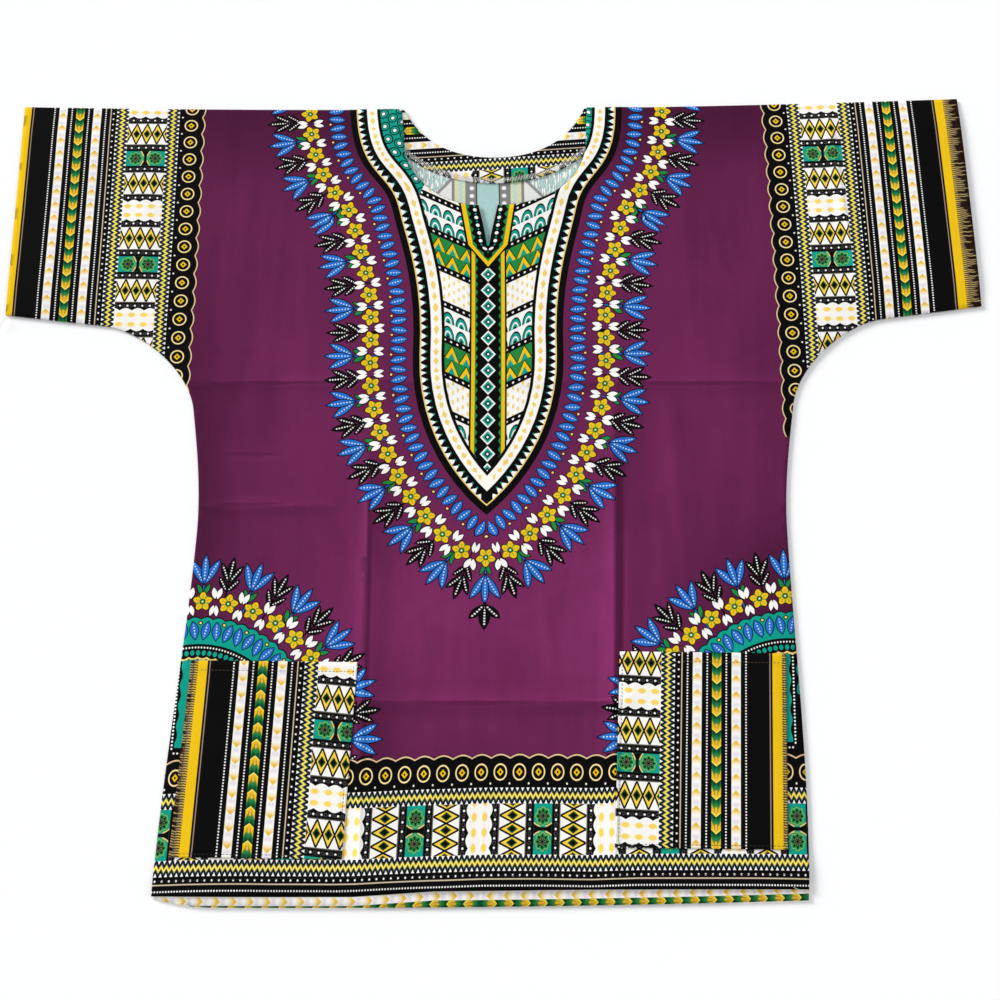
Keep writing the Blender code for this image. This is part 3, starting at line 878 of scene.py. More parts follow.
# %% Blocks
def paint_blocks(cloth, out, along):
    """Cream lozenges, diamonds and rosettes in turn, with dotted strips between them."""
    within = out.near(BLOCKS, BLOCKS_HALF)
    turn = along.fold(BLOCK_PERIOD / 2)
    off = abs(turn - DIAMONDS)
    middle = out - BLOCKS
    # dotted strips
    bead, strip = abs(middle.repeat(DOT_PITCH)), off - SEPARATOR
    cloth.paint(WHITE, length_of(bead, strip).below(0.95, 0.5) & within)
    cloth.paint(DIM_GREY, length_of(bead - DOT_PITCH / 2, strip).near(1.3, 0.3) & within)
    cloth.paint(DEEP_OLIVE, off.near(13.0, 0.25) & within)
    # diamonds
    lattice = abs(middle.repeat(LATTICE))
    diamond = lattice * (2 / LATTICE) + off * (1 / DIAMOND_HALF)
    core = lattice * (1 / 3.6) + off * (1 / 5.2)
    here = off.below(DIAMOND_HALF, 0.9) & within
    cloth.paint(WHITE, here)
    cloth.paint(DIAMOND_YELLOW, diamond.below(1.0, 0.05) & here)
    cloth.paint(GREEN, core.below(1.0, 0.2) & here)
    cloth.paint(BLACK, core.below(0.62, 0.2) & here)
    cloth.paint(BLACK, diamond.near(1.0, 0.16, 0.05) & here)
    # cream, with a scalloped edge and two rows of soft ovals
    scallops = abs(((middle - 2.7) * (math.pi / OVAL_PITCH)).math("SINE")) * 2.5 + 9.5
    here = turn.below(scallops) & within
    cloth.paint(WHITE, here)
    cloth.paint(OVAL_CREAM, turn.near(OVALS, 0.5, 1.0) & here)
    oval = length_of((middle - 2.7).repeat(OVAL_PITCH) * (1 / 3.5), (turn - OVALS) * (1 / 2.4))
    cloth.paint(OVAL_YELLOW, oval.below(1.0, 0.5) & here)
    # rosettes, whose teal tiles narrow between one and the next
    here = turn.above(TILE) & within
    cloth.paint(TEAL, here)
    across, up = (middle + BLOCKS_HALF / 2).repeat(BLOCKS_HALF), turn.from_(BLOCK_PERIOD / 2)
    reach, wave = length_of(across, up), petals(across, up, 8, 1.0)
    cloth.paint(LEAF_GREEN, (reach - wave * 0.6).below(7.6) & here)
    cloth.paint(PALE_GREEN, (reach - wave * 0.6).near(6.6, 0.45) & here)
    cloth.paint(BLACK, (reach - wave * 1.3).below(4.3) & here)
    cloth.paint(LEAF_GREEN, (wave.below(-0.7, 0.3) & reach.near(3.4, 1.2)) & here)
    cloth.paint(STONE, (wave.above(0.75, 0.3) & reach.near(2.2, 1.2)) & here)
    waist = abs(middle) - up * up * 0.045
    cloth.paint(BLACK, waist.below(1.3) & here)
    cloth.paint(GOLD, abs(waist - 1.7).below(0.55) & up.above(2.6, 1.5) & here)

# %% Ribbons
def paint_ribbons(cloth, out, along):
    """A white ribbon of gold petals on each side of one with green and yellow leaves."""
    off = abs(out - LEAVES)
    step = along.math("FLOORED_MODULO", RIBBON_PITCH)
    # fine dotted lines, one on each side of the leaves and one past each white ribbon
    fine = along.repeat(FINE_PITCH)
    for place in FINE_DOTS:
        cloth.paint(WHITE, length_of(fine, off - place).below(0.74, 0.35))
    # white ribbons, whose petals end in a soft point and fade at their other end
    up = abs(off - RIBBON_GAP)
    here, tip = up.below(RIBBON_HALF), up * -1.0 + 9.6
    cloth.paint(WHITE, here)
    cloth.paint(LAVENDER, step.near(11.6, 1.4, 3.6) & up.below(2.6, 1.6))
    cloth.paint(GOLD, step.below(tip, 1.2) & step.above(3.6, 5.0) & up.below(3.9, 0.8))
    cloth.paint(AMBER, step.below(tip - 0.5, 1.6) & step.above(6.0, 3.0) & up.below(1.9, 1.4))
    # leaves, each with a point below, flames above and two dark veins
    here = off.below(RIBBON_HALF)
    point = (step + off * -0.85).math("FLOORED_MODULO", RIBBON_PITCH)
    flame = abs(off - 2.3) * 1.7
    cloth.paint(GREEN, here)
    cloth.paint(LEAF_GREEN, point.below(flame + 9.0, 4.0) & here)
    cloth.paint(YELLOW, point.below(flame + 4.8, 1.2) & here)
    cloth.paint(AMBER, point.near(4.4, 2.2, 1.6) & off.below(1.7, 1.4))
    cloth.paint(OLIVE, off.near(1.4, 0.3, 0.4) & point.near(6.0, 2.6, 1.2))
    cloth.paint(BUTTER, point.below(1.1, 0.8) & here)

# %% Selvedge
def paint_selvedge(cloth, out, along):
    """A yellow selvedge with a dark fringe of fine strokes, each of its own length."""
    cloth.paint(SAND, out.near(SELVEDGE_LINE, 0.45))
    cloth.paint(YELLOW, out.near(SELVEDGE, 4.3))
    cloth.paint(BARK, out.above(FRINGE + 0.1))
    chance = cloth.tree.nodes.new("ShaderNodeTexWhiteNoise")
    chance.noise_dimensions = "1D"
    plug(cloth.tree, (along * (1 / STROKE_PITCH)).math("FLOOR"), chance.inputs["W"])
    length = Formula(cloth.tree, chance.outputs["Value"])
    waver = (out * 0.9).math("SINE") * 0.25
    stroke = abs((along + waver - STROKE_PITCH / 2).repeat(STROKE_PITCH)) + length * 0.25
    stroke = stroke.below(0.62, 0.7) & out.above(FRINGE)
    cloth.paint(STRAW, stroke & out.below(length * 13.0 + (FRINGE + 2.0), 5.0))
    cloth.paint(YELLOW, stroke & out.below(length * 3.5 + FRINGE, 2.0))

# %% The whole border
def border_print():
    group, (out, along, pitch), leave = new_group(
        "Border print", [("Out", NUMBER), ("Along", NUMBER), ("Pitch", NUMBER)],
        [("Color", COLOUR), ("Ink", NUMBER)])
    cloth = Print(group, BLACK)
    by_ring = along * RING_PITCH / pitch
    paint_rings(cloth, out, by_ring)
    paint_zigzag(cloth, out, along)
    paint_blocks(cloth, out, along)
    paint_ribbons(cloth, out, along)
    cloth.paint(WHITE, length_of(along.repeat(DOTS_PITCH), out - DOTS).below(0.82, 0.45))
    cloth.paint(BUFF, out.near(THIN_LINE, 0.5))
    paint_selvedge(cloth, out, along)
    # scalloped edge
    scallop = abs((by_ring * (math.pi / RING_PITCH)).math("COSINE")) * -2.8 + 3.8
    cloth.paint(PEACH, abs(out - scallop).below(0.6))
    group.links.new(cloth.colour, leave.inputs["Color"])
    group.links.new((out - scallop).above(-1.2).socket, leave.inputs["Ink"])
    print("border print:", len(group.nodes), "nodes")
    return group


BORDER = border_print()

# %% [markdown]
# ## The rings of leaves and flowers
# Round the yoke, and round a quarter circle above each pocket, run three rings: pairs of blue
# almond leaves, yellow rosettes with white buds, and blue tulips with black sprigs. Every leaf
# is the same lens: two arcs about an axis. One helper measures that lens in any direction, so a
# motif is a handful of calls, each painted first a little too wide in black for its outline.

# %% Ring group
LEAF_PITCH, ROSETTE_PITCH, TULIP_PITCH, OUTLINE = 20.6, 24.0, 49.0, 0.95
# (base, tip, half width) of each almond leaf, across the motif and up it
TULIP_PETALS = ((1.2, -13.0), (12.4, 9.5), 3.4), ((0.0, -13.0), (0.0, 14.0), 3.2)
SPRIG_LEAVES = (
    ((0.0, -11.0), (0.0, 13.0), 3.0), ((0.6, -10.0), (9.6, 6.5), 2.7),
    ((0.6, -18.5), (9.8, -6.5), 2.6),
)
LAST_SPRIG = ((0.0, 84.0), (0.0, 108.0), 3.3), ((0.8, 86.0), (9.8, 99.0), 2.8)
BUDS = ((11.0, 3.0), (8.6, 13.5), 2.2), ((11.0, -3.0), (8.6, -13.0), 2.2)


class Motifs(Print):
    """A print that also keeps which places have been inked at all."""

    def __init__(self, tree, colour):
        super().__init__(tree, colour)
        self.cover = None

    def outlined(self, colour, measure, size, within=None):
        """A shape in one colour with a black outline round it."""
        outline, fill = measure.below(size + OUTLINE), measure.below(size)
        if within is not None:
            outline, fill = outline & within, fill & within
        self.paint(BLACK, outline)
        self.cover = outline if self.cover is None else self.cover | outline
        if colour != BLACK:
            self.paint(colour, fill)

# %% Leaves as lenses
def lens(across, up, base, tip, half_width):
    """(measure, off axis, along axis) of an almond leaf from base to tip. measure is below
    half_width inside the leaf."""
    length = math.hypot(tip[0] - base[0], tip[1] - base[1])
    side, rise = (tip[0] - base[0]) / length, (tip[1] - base[1]) / length
    x, y = (base[0] + tip[0]) / 2, (base[1] + tip[1]) / 2
    off = (across * rise).math("ADD", up * -side) - (x * rise - y * side)
    along = (across * side).math("ADD", up * rise) - (x * side + y * rise)
    bend = half_width / (length / 2) ** 2
    return (along * along).math("MULTIPLY_ADD", bend, abs(off)), off, along


def beads(off, along, pitch, size):
    """A dotted line down the middle of a leaf."""
    return length_of(off, along.repeat(pitch)).below(size)


def sprig(cloth, across, up, leaves, bead):
    """Black leaves, each with a row of white beads."""
    for base, tip, width in leaves:
        leaf, off, along = lens(across, up, base, tip, width)
        cloth.outlined(BLACK, leaf, width)
        cloth.paint(WHITE, beads(off, along, 2.6, bead) & leaf.below(width * 0.65))

# %% The three rings
def ring_print():
    group, (first, second, third, edge), leave = new_group(
        "Ring print", [(label, NUMBER) for label in ("First", "Second", "Third", "Edge")],
        [("Color", COLOUR), ("Ink", NUMBER)])
    cloth = Motifs(group, BLACK)

    # pairs of blue leaves, opening outwards, with a gold dot between the pairs
    across, up = abs(first.repeat(LEAF_PITCH)), edge - RINGS[0]
    leaf, off, along = lens(across, up, (3.9, -8.3), (6.6, 8.3), 3.7)
    cloth.outlined(BLUE, leaf, 3.7)
    cloth.paint(LIGHT_BLUE, beads(off, along, 2.8, 0.75) & leaf.below(1.9))
    cloth.outlined(GOLD, length_of(across, up - 7.0), 1.1)

    # blue tulips and black sprigs in turn, on stems that come up between the flowers
    across, up = abs(third.repeat(TULIP_PITCH)), edge - RINGS[2]
    side = abs(across - TULIP_PITCH / 2)
    cloth.outlined(BLUE, across + up.above(-12.0) * 9.0 + up.below(-37.0) * 9.0, 0.6)
    stems = side.below(0.9) & up.near(-19.0, 17.0)
    cloth.paint(BLACK, stems)
    twig, _, _ = lens(across, up, (0.6, -24.0), (6.5, -13.5), 2.1)
    cloth.outlined(LEAF_GREEN, twig, 2.1)
    for base, tip, width in TULIP_PETALS:
        petal, off, along = lens(across, up, base, tip, width)
        cloth.outlined(BLUE, petal, width)
        cloth.paint(LIGHT_BLUE, beads(off, along, 2.9, 0.75) & petal.below(2.1))
    sprig(cloth, side, up, SPRIG_LEAVES, 0.72)

    # rosettes, with white buds between them
    across, up = second.repeat(ROSETTE_PITCH), edge - RINGS[1]
    reach, wave = length_of(across, up), petals(across, up, 5, 1.0)
    half = abs(across)
    for base, tip, width in BUDS:
        bud, _, _ = lens(half, up, base, tip, width)
        cloth.outlined(WHITE, bud, width)
    cloth.outlined(YELLOW, reach - wave * 1.5, 7.4)
    cloth.paint(LEAF_GREEN, wave.below(-0.86, 0.2) & reach.near(4.6, 2.0))
    cloth.paint(LEAF_GREEN, wave.above(0.97, 0.06) & reach.near(4.6, 1.9))
    cloth.nest(reach, (BLACK, 2.7), (LEAF_GREEN, 2.0), (WHITE, 0.8))

    # one last sprig beyond the tip of the yoke
    sprig(cloth, abs(third), edge, LAST_SPRIG, 0.75)

    group.links.new(cloth.colour, leave.inputs["Color"])
    group.links.new((cloth.cover | stems).socket, leave.inputs["Ink"])
    print("ring print:", len(group.nodes), "nodes")
    return group


RING_GROUP = ring_print()

# %% [markdown]
# ## The yoke
# The yoke is a pointed shield round the neck. From its edge inwards it has a black line, a gold
# one, a row of white teeth on black and a cream band of gold lozenges. Inside these, courses run
# across it in wide Vs, each with its own small repeat. A chain of lozenges runs up the middle to
# the tip of the neck slit, and a beaded band goes round the slit. The rim's bands follow the
# distance from the yoke's edge, so they keep their width round every bend.

# %% Yoke group
COURSE, COURSE_SLOPE, COURSE_START, ROW = 37.0, 0.50, 262.0, 14.9
SLIT_SPREAD, SLIT_POINT, SLIT_BAND = 0.16, 0.8, 21.5   # beside the slit, under its tip, and width
SPINE_HALF, RIM = 18.0, 30.6
TOOTH_PITCH, LOZENGE_PITCH, LINK_PITCH, BEAD_PITCH, ARC_PITCH = 8.2, 11.0, 17.0, 8.6, 15.0
GRAIN_PITCH, PEAK_PITCH, SCALE_PITCH, PARTING_PITCH = 9.6, 14.0, 13.0, 6.0
RIM_LOZENGES, RIM_TEETH, RIM_BUDS, RIM_LINE = 22.4, 15.2, 12.9, 7.2  # how deep each band lies

# %% Courses
def paint_courses(cloth, across, up):
    """Three kinds of course in turn, parted by dotted black lines."""
    half = abs(across)
    level = up - half * COURSE_SLOPE
    local = (level - COURSE_START + COURSE / 2).repeat(COURSE)
    third = (level - COURSE_START).math("FLOORED_MODULO", 3 * COURSE)
    foot = (local + ROW).math("FLOORED_MODULO", ROW)
    # cream with gold grains, every other row moved by half
    cloth.paint(WHITE, third.above(-1.0))
    for shift in (0.0, GRAIN_PITCH / 2):
        aside, rising = ((way + shift).repeat(GRAIN_PITCH) for way in (half, level))
        cloth.paint(GOLD, length_of(aside, rising * 0.5).below(1.15, 0.5))
    # two rows of yellow peaks on green, with a teal heart in each
    here = third.near(1.5 * COURSE, COURSE / 2)
    rise = (half * (2 / PEAK_PITCH)).fold(1.0) * ROW - foot
    cloth.paint(LEAF_GREEN, here)
    cloth.paint(YELLOW, rise.above(0.0) & here)
    cloth.paint(BLACK, abs(rise).below(0.9) & here)
    cloth.paint(TEAL, rise.above(7.2) & here)
    # two rows of teal scales on cream
    here = third.above(2 * COURSE)
    arc = length_of(half.repeat(SCALE_PITCH), foot * 0.5)
    cloth.paint(WHITE, here)
    cloth.nest(arc, (BLACK, 6.0), (TEAL, 5.1), within=here)
    cloth.paint(WHITE, arc.near(3.0, 0.45) & here)
    cloth.paint(BLACK, arc.below(1.3) & here)
    # lines between the courses
    parting = abs(local).from_(COURSE / 2)
    cloth.paint(BLACK, parting.below(3.6))
    cloth.paint(WHITE, length_of(half.repeat(PARTING_PITCH), parting).below(1.05))

# %% Shoulders, spine and slit
def paint_shoulders(cloth, depth, across, up):
    """Teal by the shoulders, with ringed white buds."""
    teal = (abs(across) + up * 0.45).above(200.0)
    cloth.paint(TEAL, teal)
    leaning = up - depth * 0.3
    cell, other = leaning.repeat(ARC_PITCH), (leaning + ARC_PITCH / 2).repeat(ARC_PITCH)
    for place, row in ((cell, 34.0), (other, 43.0), (cell, 52.0)):
        arc = length_of(place, depth - row)
        cloth.paint(BLACK, arc.near(4.9, 0.6) & teal)
        cloth.nest(arc, (BLACK, 2.6), (WHITE, 1.8), within=teal)


def paint_spine(cloth, across, up):
    """A chain of lozenges between two yellow cords with green teeth."""
    half = abs(across)
    link = (up * (2 / BEAD_PITCH)).fold(1.0)
    cloth.paint(BLACK, half.below(SPINE_HALF))
    cloth.paint(LEAF_GREEN, (half + link * 2.4).above(12.4) & half.below(14.0))
    cloth.paint(YELLOW, half.near(14.6, 1.7))
    lozenge = half * 1.1 + abs(up.repeat(LINK_PITCH))
    cloth.nest(lozenge, (WHITE, 8.0), (TEAL, 6.0), (BLACK, 3.4), (WHITE, 1.5))


def paint_slit_band(cloth, across, up):
    """Beads, green teeth and a yellow cord round the slit, meeting in a point under its tip."""
    rise = up - SLIT_TIP_Y / MM
    reach = abs(across) - rise.math("MAXIMUM", 0.0) * SLIT_SPREAD
    reach = reach - rise.math("MINIMUM", 0.0) * SLIT_POINT
    cloth.paint(BLACK, reach.below(SLIT_BAND))
    tooth = (up * (2 / BEAD_PITCH)).fold(1.0)
    cloth.paint(LEAF_GREEN, (reach + tooth * 3.2).above(14.4) & reach.below(16.0))
    cloth.paint(YELLOW, reach.near(17.2, 2.2))
    cloth.paint(WHITE, length_of(up.repeat(BEAD_PITCH), reach - 6.6).below(1.8))
    cloth.paint(TEAL, length_of((up + BEAD_PITCH / 2).repeat(BEAD_PITCH), reach - 6.6).below(0.9))
    cloth.paint(TEAL, reach.below(1.2))

# %% The whole yoke
def yoke_print():
    group, (edge, along, across, up), leave = new_group(
        "Yoke print", [(label, NUMBER) for label in ("Edge", "Along", "Across", "Up")],
        [("Color", COLOUR), ("Ink", NUMBER)])
    cloth, depth = Print(group, BLACK), edge.from_(0.0)
    paint_courses(cloth, across, up)
    paint_shoulders(cloth, depth, across, up)
    paint_spine(cloth, across, up)
    paint_slit_band(cloth, across, up)
    # the rim, from its inner line outwards, plain at its lower point
    beside = abs(across).above(5.4) | up.above(100.0)
    cloth.paint(BLACK, depth.below(RIM))
    cloth.paint(PEARL, depth.near(RIM_LOZENGES, 5.2))
    lozenge = abs(along.repeat(LOZENGE_PITCH)) * 0.62 + abs(depth - RIM_LOZENGES)
    cloth.paint(GOLD, lozenge.below(2.7, 0.8) & beside)
    tooth = (along * (2 / TOOTH_PITCH)).fold(1.0)
    cloth.paint(WHITE, (tooth * 7.0 - depth).above(-6.5) & depth.below(RIM_TEETH) & beside)
    bud = length_of((along + TOOTH_PITCH / 2).repeat(TOOTH_PITCH), depth - RIM_BUDS)
    cloth.paint(TEAL, bud.below(1.0) & beside)
    cloth.paint(BLACK, depth.below(7.9))
    cloth.paint(GOLD, depth.near(RIM_LINE, 0.6))
    group.links.new(cloth.colour, leave.inputs["Color"])
    group.links.new(edge.below(0.0).socket, leave.inputs["Ink"])
    print("yoke print:", len(group.nodes), "nodes")
    return group


YOKE_GROUP = yoke_print()

# %% [markdown]
# ## Cotton
# Under the ink every part is the same plain weave. It gives the surface its fine threads, a few
# thicker ones that catch the light, and a little unevenness where the dye took less. Keeping it
# in one group means that purple, border and wrong side all wear the same cloth.

# %% Weave group
WARP_PITCH, WEFT_PITCH, THREAD_DEPTH = 0.62, 0.70, 0.12 * MM


def streaks(tree, cut, scale_x, scale_y, detail):
    """Noise drawn out along the threads, from 0 to 1."""
    spread, noise = (tree.nodes.new("ShaderNode" + kind) for kind in ("VectorMath", "TexNoise"))
    spread.operation = "MULTIPLY"
    for entry, value in (
        (spread.inputs[0], cut), (spread.inputs[1], (scale_x, scale_y, 1.0)),
        (noise.inputs["Vector"], spread.outputs[0]),
        (noise.inputs["Scale"], 1.0), (noise.inputs["Detail"], detail),
    ):
        plug(tree, value, entry)
    return Formula(tree, noise.outputs["Fac"])


def weave():
    group, (colour, cut, wear_and_shade, unevenness, relief), leave = new_group(
        "Cotton weave",
        [("Color", COLOUR), ("Cut", VECTOR), ("Wear", NUMBER), ("Unevenness", NUMBER),
         ("Relief", NUMBER)],
        [("Color", COLOUR), ("Roughness", NUMBER), ("Normal", VECTOR)])
    split = group.nodes.new("ShaderNodeSeparateXYZ")
    plug(group, cut, split.inputs[0])
    x, y = (Formula(group, split.outputs[i]) for i in (0, 1))
    turn = 2 * math.pi
    threads = (x * (turn / WARP_PITCH)).math("SINE") * (y * (turn / WEFT_PITCH)).math("SINE")
    warp, weft = streaks(group, cut, 0.9, 0.045, 2.0), streaks(group, cut, 0.05, 0.8, 2.0)
    cloud = streaks(group, cut, 0.011, 0.014, 3.0)
    drawn = streaks(group, cut, 0.055, 0.009, 3.0)
    slubs = warp + weft
    shade = (slubs - 1.0) * 0.45 + (cloud - 0.5) * 1.5 + (drawn - 0.5) * 1.3
    dyed = Print(group, colour)
    # the cut's third number pales ridges, as wear and painted light, and darkens troughs, as
    # painted shade
    dyed.shade(shade.math("MULTIPLY_ADD", unevenness, 1.0) + wear_and_shade)
    roughness = slubs * 0.10 + 0.74
    bump = group.nodes.new("ShaderNodeBump")
    for entry, value in (
        (bump.inputs["Distance"], THREAD_DEPTH), (bump.inputs["Strength"], relief),
        (bump.inputs["Height"], threads * 0.35 + slubs * 0.9),
        (leave.inputs["Color"], dyed.colour), (leave.inputs["Roughness"], roughness),
        (leave.inputs["Normal"], bump.outputs[0]),
    ):
        plug(group, value, entry)
    return group


WEAVE = weave()
print("weave:", len(WEAVE.nodes), "nodes")

# %% [markdown]
# ## The finishes
# Each stretch of cloth gets a material that reads the places stored on the mesh, draws its own
# print and lays the weave over it. The wrong side shows the same print, but the dye has only
# just come through, so it is pale and blotchy.

# %% Reading the stored places
def places(tree, name):
    """The stored places of that name, as three formulas and the whole vector."""
    reader = tree.nodes.new("ShaderNodeAttribute")
    reader.attribute_name = name
    split = tree.nodes.new("ShaderNodeSeparateXYZ")
    tree.links.new(reader.outputs["Vector"], split.inputs[0])
    return [Formula(tree, split.outputs[i]) for i in range(3)], reader.outputs["Vector"]


def number(cloth, name):
    """A stored number, or the first of three."""
    return places(cloth.tree, name)[0][0]


def covered(cloth, drawing):
    """Paints a print group's colour wherever it has ink."""
    cloth.paint(drawing.outputs["Color"], Formula(cloth.tree, drawing.outputs["Ink"]))


def draw_border(cloth):
    (out, along, pitch), _ = places(cloth.tree, "border")
    covered(cloth, place_group(cloth.tree, BORDER, Out=out, Along=along, Pitch=pitch))


def draw_rings(cloth):
    (first, second, third), _ = places(cloth.tree, "rings")
    edge = number(cloth, "edge")
    covered(cloth, place_group(
        cloth.tree, RING_GROUP, First=first, Second=second, Third=third, Edge=edge))


def draw_yoke(cloth):
    edge, first = number(cloth, "edge"), number(cloth, "rings")
    (x, y, _), _ = places(cloth.tree, "cut")
    covered(cloth, place_group(
        cloth.tree, YOKE_GROUP, Edge=edge, Along=first, Across=x - YOKE_AXIS, Up=y))

# %% Corner fans
FAN_DOTS, FAN_ARCS, STRIP_DOTS, STRIP_WAVE, STRIP_SHIFT = 3.3, 11.0, 3.2, 9.0, 2.4


def draw_fan(cloth):
    """The ground of a corner fan: teal under the blue leaves, and dotted bands within."""
    edge, first = number(cloth, "edge"), number(cloth, "rings")
    (x, y, _), _ = places(cloth.tree, "cut")
    bumps = abs((first * (math.pi / LEAF_PITCH * 2)).math("SINE")) * -2.2
    cloth.nest(edge + bumps, (BLACK, 25.2), (TEAL, 24.0))
    cloth.paint(BLACK, edge.below(1.6))
    cloth.paint(WHITE, length_of(first.repeat(FAN_DOTS), edge + 1.6).below(0.85))
    cloth.paint(TEAL, length_of(first.repeat(FAN_DOTS * 2), edge + 6.6).below(2.4))
    arc = abs((first * (math.pi / FAN_ARCS)).math("SINE")) * 1.6
    cloth.paint(GOLD, (edge + arc).near(-10.8, 0.9))
    # a wavy strip beside the pocket, with a dotted line that turns in below it
    inside_arc = edge.below(-12.6)
    wave, from_middle = (y * (math.pi / STRIP_WAVE)).math("SINE"), abs(x + STRIP_SHIFT)
    waving = from_middle + wave * 0.9
    cloth.paint(TEAL, waving.below(274.6) & y.above(-258.3) & inside_arc)
    cloth.paint(TEAL, waving.above(281.4) & y.above(-216.0) & inside_arc)
    upright = length_of(y.repeat(STRIP_DOTS), from_middle - 277.6).below(0.85)
    cloth.paint(WHITE, upright & y.above(-261.0) & inside_arc)
    level = length_of(from_middle.repeat(STRIP_DOTS), y + 263.2).below(0.85)
    cloth.paint(WHITE, level & from_middle.near(273.4, 3.6))


def draw_fan_corner(cloth):
    draw_fan(cloth)
    draw_rings(cloth)
    draw_border(cloth)


def draw_yoke_and_rings(cloth):
    draw_rings(cloth)
    draw_yoke(cloth)

# %% Turned hem and wrong side
TURN_RIBBON, TURN_LOWER, TURN_STEP = -385.2, -388.6, 11.0  # up the cut, and what the turn skips


def draw_hem_turn(cloth):
    """The turned-up hem of the back shows a white ribbon and then the leaves below it. To the
    left of the middle the ribbon runs lower."""
    (x, y, _), _ = places(cloth.tree, "cut")
    place = y + x.below(-75.0, 70.0) * 4.3
    lower = place.below(TURN_LOWER, 0.2)
    out = place.from_(TURN_RIBBON + LEAVES - RIBBON_GAP) + lower * TURN_STEP
    covered(cloth, place_group(
        cloth.tree, BORDER, Out=out, Along=abs(x).from_(0.0), Pitch=RING_PITCH))
    cloth.paint(BLACK, out.below(LEAVES - RIBBON_GAP - RIBBON_HALF - 0.4))


def draw_wrong_side(cloth):
    """The same yoke and rings seen through the cloth: faint, and grey where they are black."""
    printed = Print(cloth.tree, PURPLE)
    draw_yoke_and_rings(printed)
    (x, y, _), cut = places(cloth.tree, "cut")
    mottle = streaks(cloth.tree, cut, 1.6, 1.6, 4.0)
    streak = streaks(cloth.tree, cut, 0.55, 0.09, 4.0)
    cloth.paint(printed.colour, mottle.math("MULTIPLY_ADD", 1.4, -0.40, clamp=True))
    # round the neck: streaks by the shoulders, plain cloth, and the slit's band on both sides
    half, neck = abs(x - SLIT_CENTRE / MM), y.above(228.0) & abs(x).below(110.0)
    shoulder = half + (y - 280.0) * 0.9
    leaf = (y * (2 / 5.6)).fold(1.0)
    for colour, mask in (
        (PALE_TEAL, None),
        (WHITE, streak.above(0.54, 0.06)), (GREY, streak.near(0.50, 0.012, 0.02)),
        (ink(226, 228, 224), shoulder.below(64.0, 1.0)), (GREY, shoulder.near(65.0, 2.0, 2.0)),
        (GREY, half.below(36.5)), (ink(212, 216, 178), half.near(28.2, 5.4)),
        (ink(186, 212, 196), (half - leaf * 3.0).near(25.6, 2.0)),
        (ink(122, 124, 124), mottle.above(0.5, 0.2) & half.near(17.0, 5.4)),
        (WHITE, length_of(y.repeat(BEAD_PITCH), half - 16.2).below(2.2, 0.8)),
        (BLACK, half.near(11.3, 0.5)), (PALE_TEAL, half.below(10.8)),
    ):
        cloth.paint(colour, neck if mask is None else mask & neck)

# %% Cotton finishes
COTTON_GLOSS = 0.06


def cotton(name, ground, *drawings, unevenness=0.10, relief=0.6):
    """A cotton finish: ground colour, prints over it, and the weave."""
    material = bpy.data.materials.new(name)
    material.use_nodes = True
    tree = material.node_tree
    shader = tree.nodes["Principled BSDF"]
    cloth = Print(tree, ground)
    # the plain ground is multiplied by its stored painted light and shade, kept as depth
    if ground == PURPLE:
        depth = tree.nodes.new("ShaderNodeAttribute")
        depth.attribute_name = "depth"
        cloth.shade(depth.outputs["Fac"])
    for draw in drawings:
        draw(cloth)
    (_, _, wear_and_shade), cut = places(tree, "cut")
    finish = place_group(
        tree, WEAVE, Color=cloth.colour, Cut=cut, Wear=wear_and_shade, Unevenness=unevenness, Relief=relief)
    for label, entry in (("Color", "Base Color"), ("Roughness",) * 2, ("Normal",) * 2):
        tree.links.new(finish.outputs[label], shader.inputs[entry])
    shader.inputs["Specular IOR Level"].default_value = COTTON_GLOSS
    return material


def plain_finish(name, colour, **values):
    """A material with one colour and a few plain values, by input name."""
    material = bpy.data.materials.new(name)
    material.use_nodes = True
    inputs = material.node_tree.nodes["Principled BSDF"].inputs
    inputs["Base Color"].default_value = colour
    for label, value in values.items():
        inputs[label.replace("_", " ")].default_value = value
    return material


FINISHES = {
    "ground": cotton("purple cotton", PURPLE, unevenness=0.30),
    "border": cotton("border print", PURPLE, draw_border),
    "yoke": cotton("yoke print", PURPLE, draw_yoke_and_rings, unevenness=0.16),
    "fan": cotton("corner print", PURPLE, draw_fan_corner),
    "hem turn": cotton("turned hem", WHITE, draw_hem_turn),
    "wrong side": cotton("wrong side", ink(196, 200, 202), draw_wrong_side, unevenness=0.22),
}
SLOT_OF = {kind: index for index, kind in enumerate(FINISHES)}
print("finishes:", ", ".join(FINISHES))

# %% [markdown]
# ## Making the five pieces
# With cut, heights, places and finishes at hand, a piece is short work: fill its cut, give it
# its thickness, store where its print lies, and choose a finish for each face by where it is.

# %% Choosing a finish by place
RING_REACH, FAN_RINGS = 112.0, 88.0       # how far the outermost leaves reach, yoke and corners
BORDER_MARGIN = 8                         # a border's own finish starts this far before its edge


def body_finish(x, y):
    """Which finish the printed side has at each place of a front or back."""
    out, (edge, _) = body_border(x, y)[:, 0], ring_fields(x, y)
    corner = (np.abs(x) > CORNER_X) & (y < CORNER_Y)
    fan = corner & (edge < FAN_RINGS) & (edge > -FAN_RADIUS - 1)
    kinds = np.full(len(x), SLOT_OF["ground"])
    kinds[~corner & (edge < RING_REACH)] = SLOT_OF["yoke"]
    kinds[fan] = SLOT_OF["fan"]
    near_border, hem = out > -BORDER_MARGIN, y < HEM_Y
    kinds[(y > UNDERARM_Y) & near_border] = SLOT_OF["border"]
    kinds[hem & ((near_border & ~fan) | (out > BORDER_MARGIN))] = SLOT_OF["border"]
    return kinds


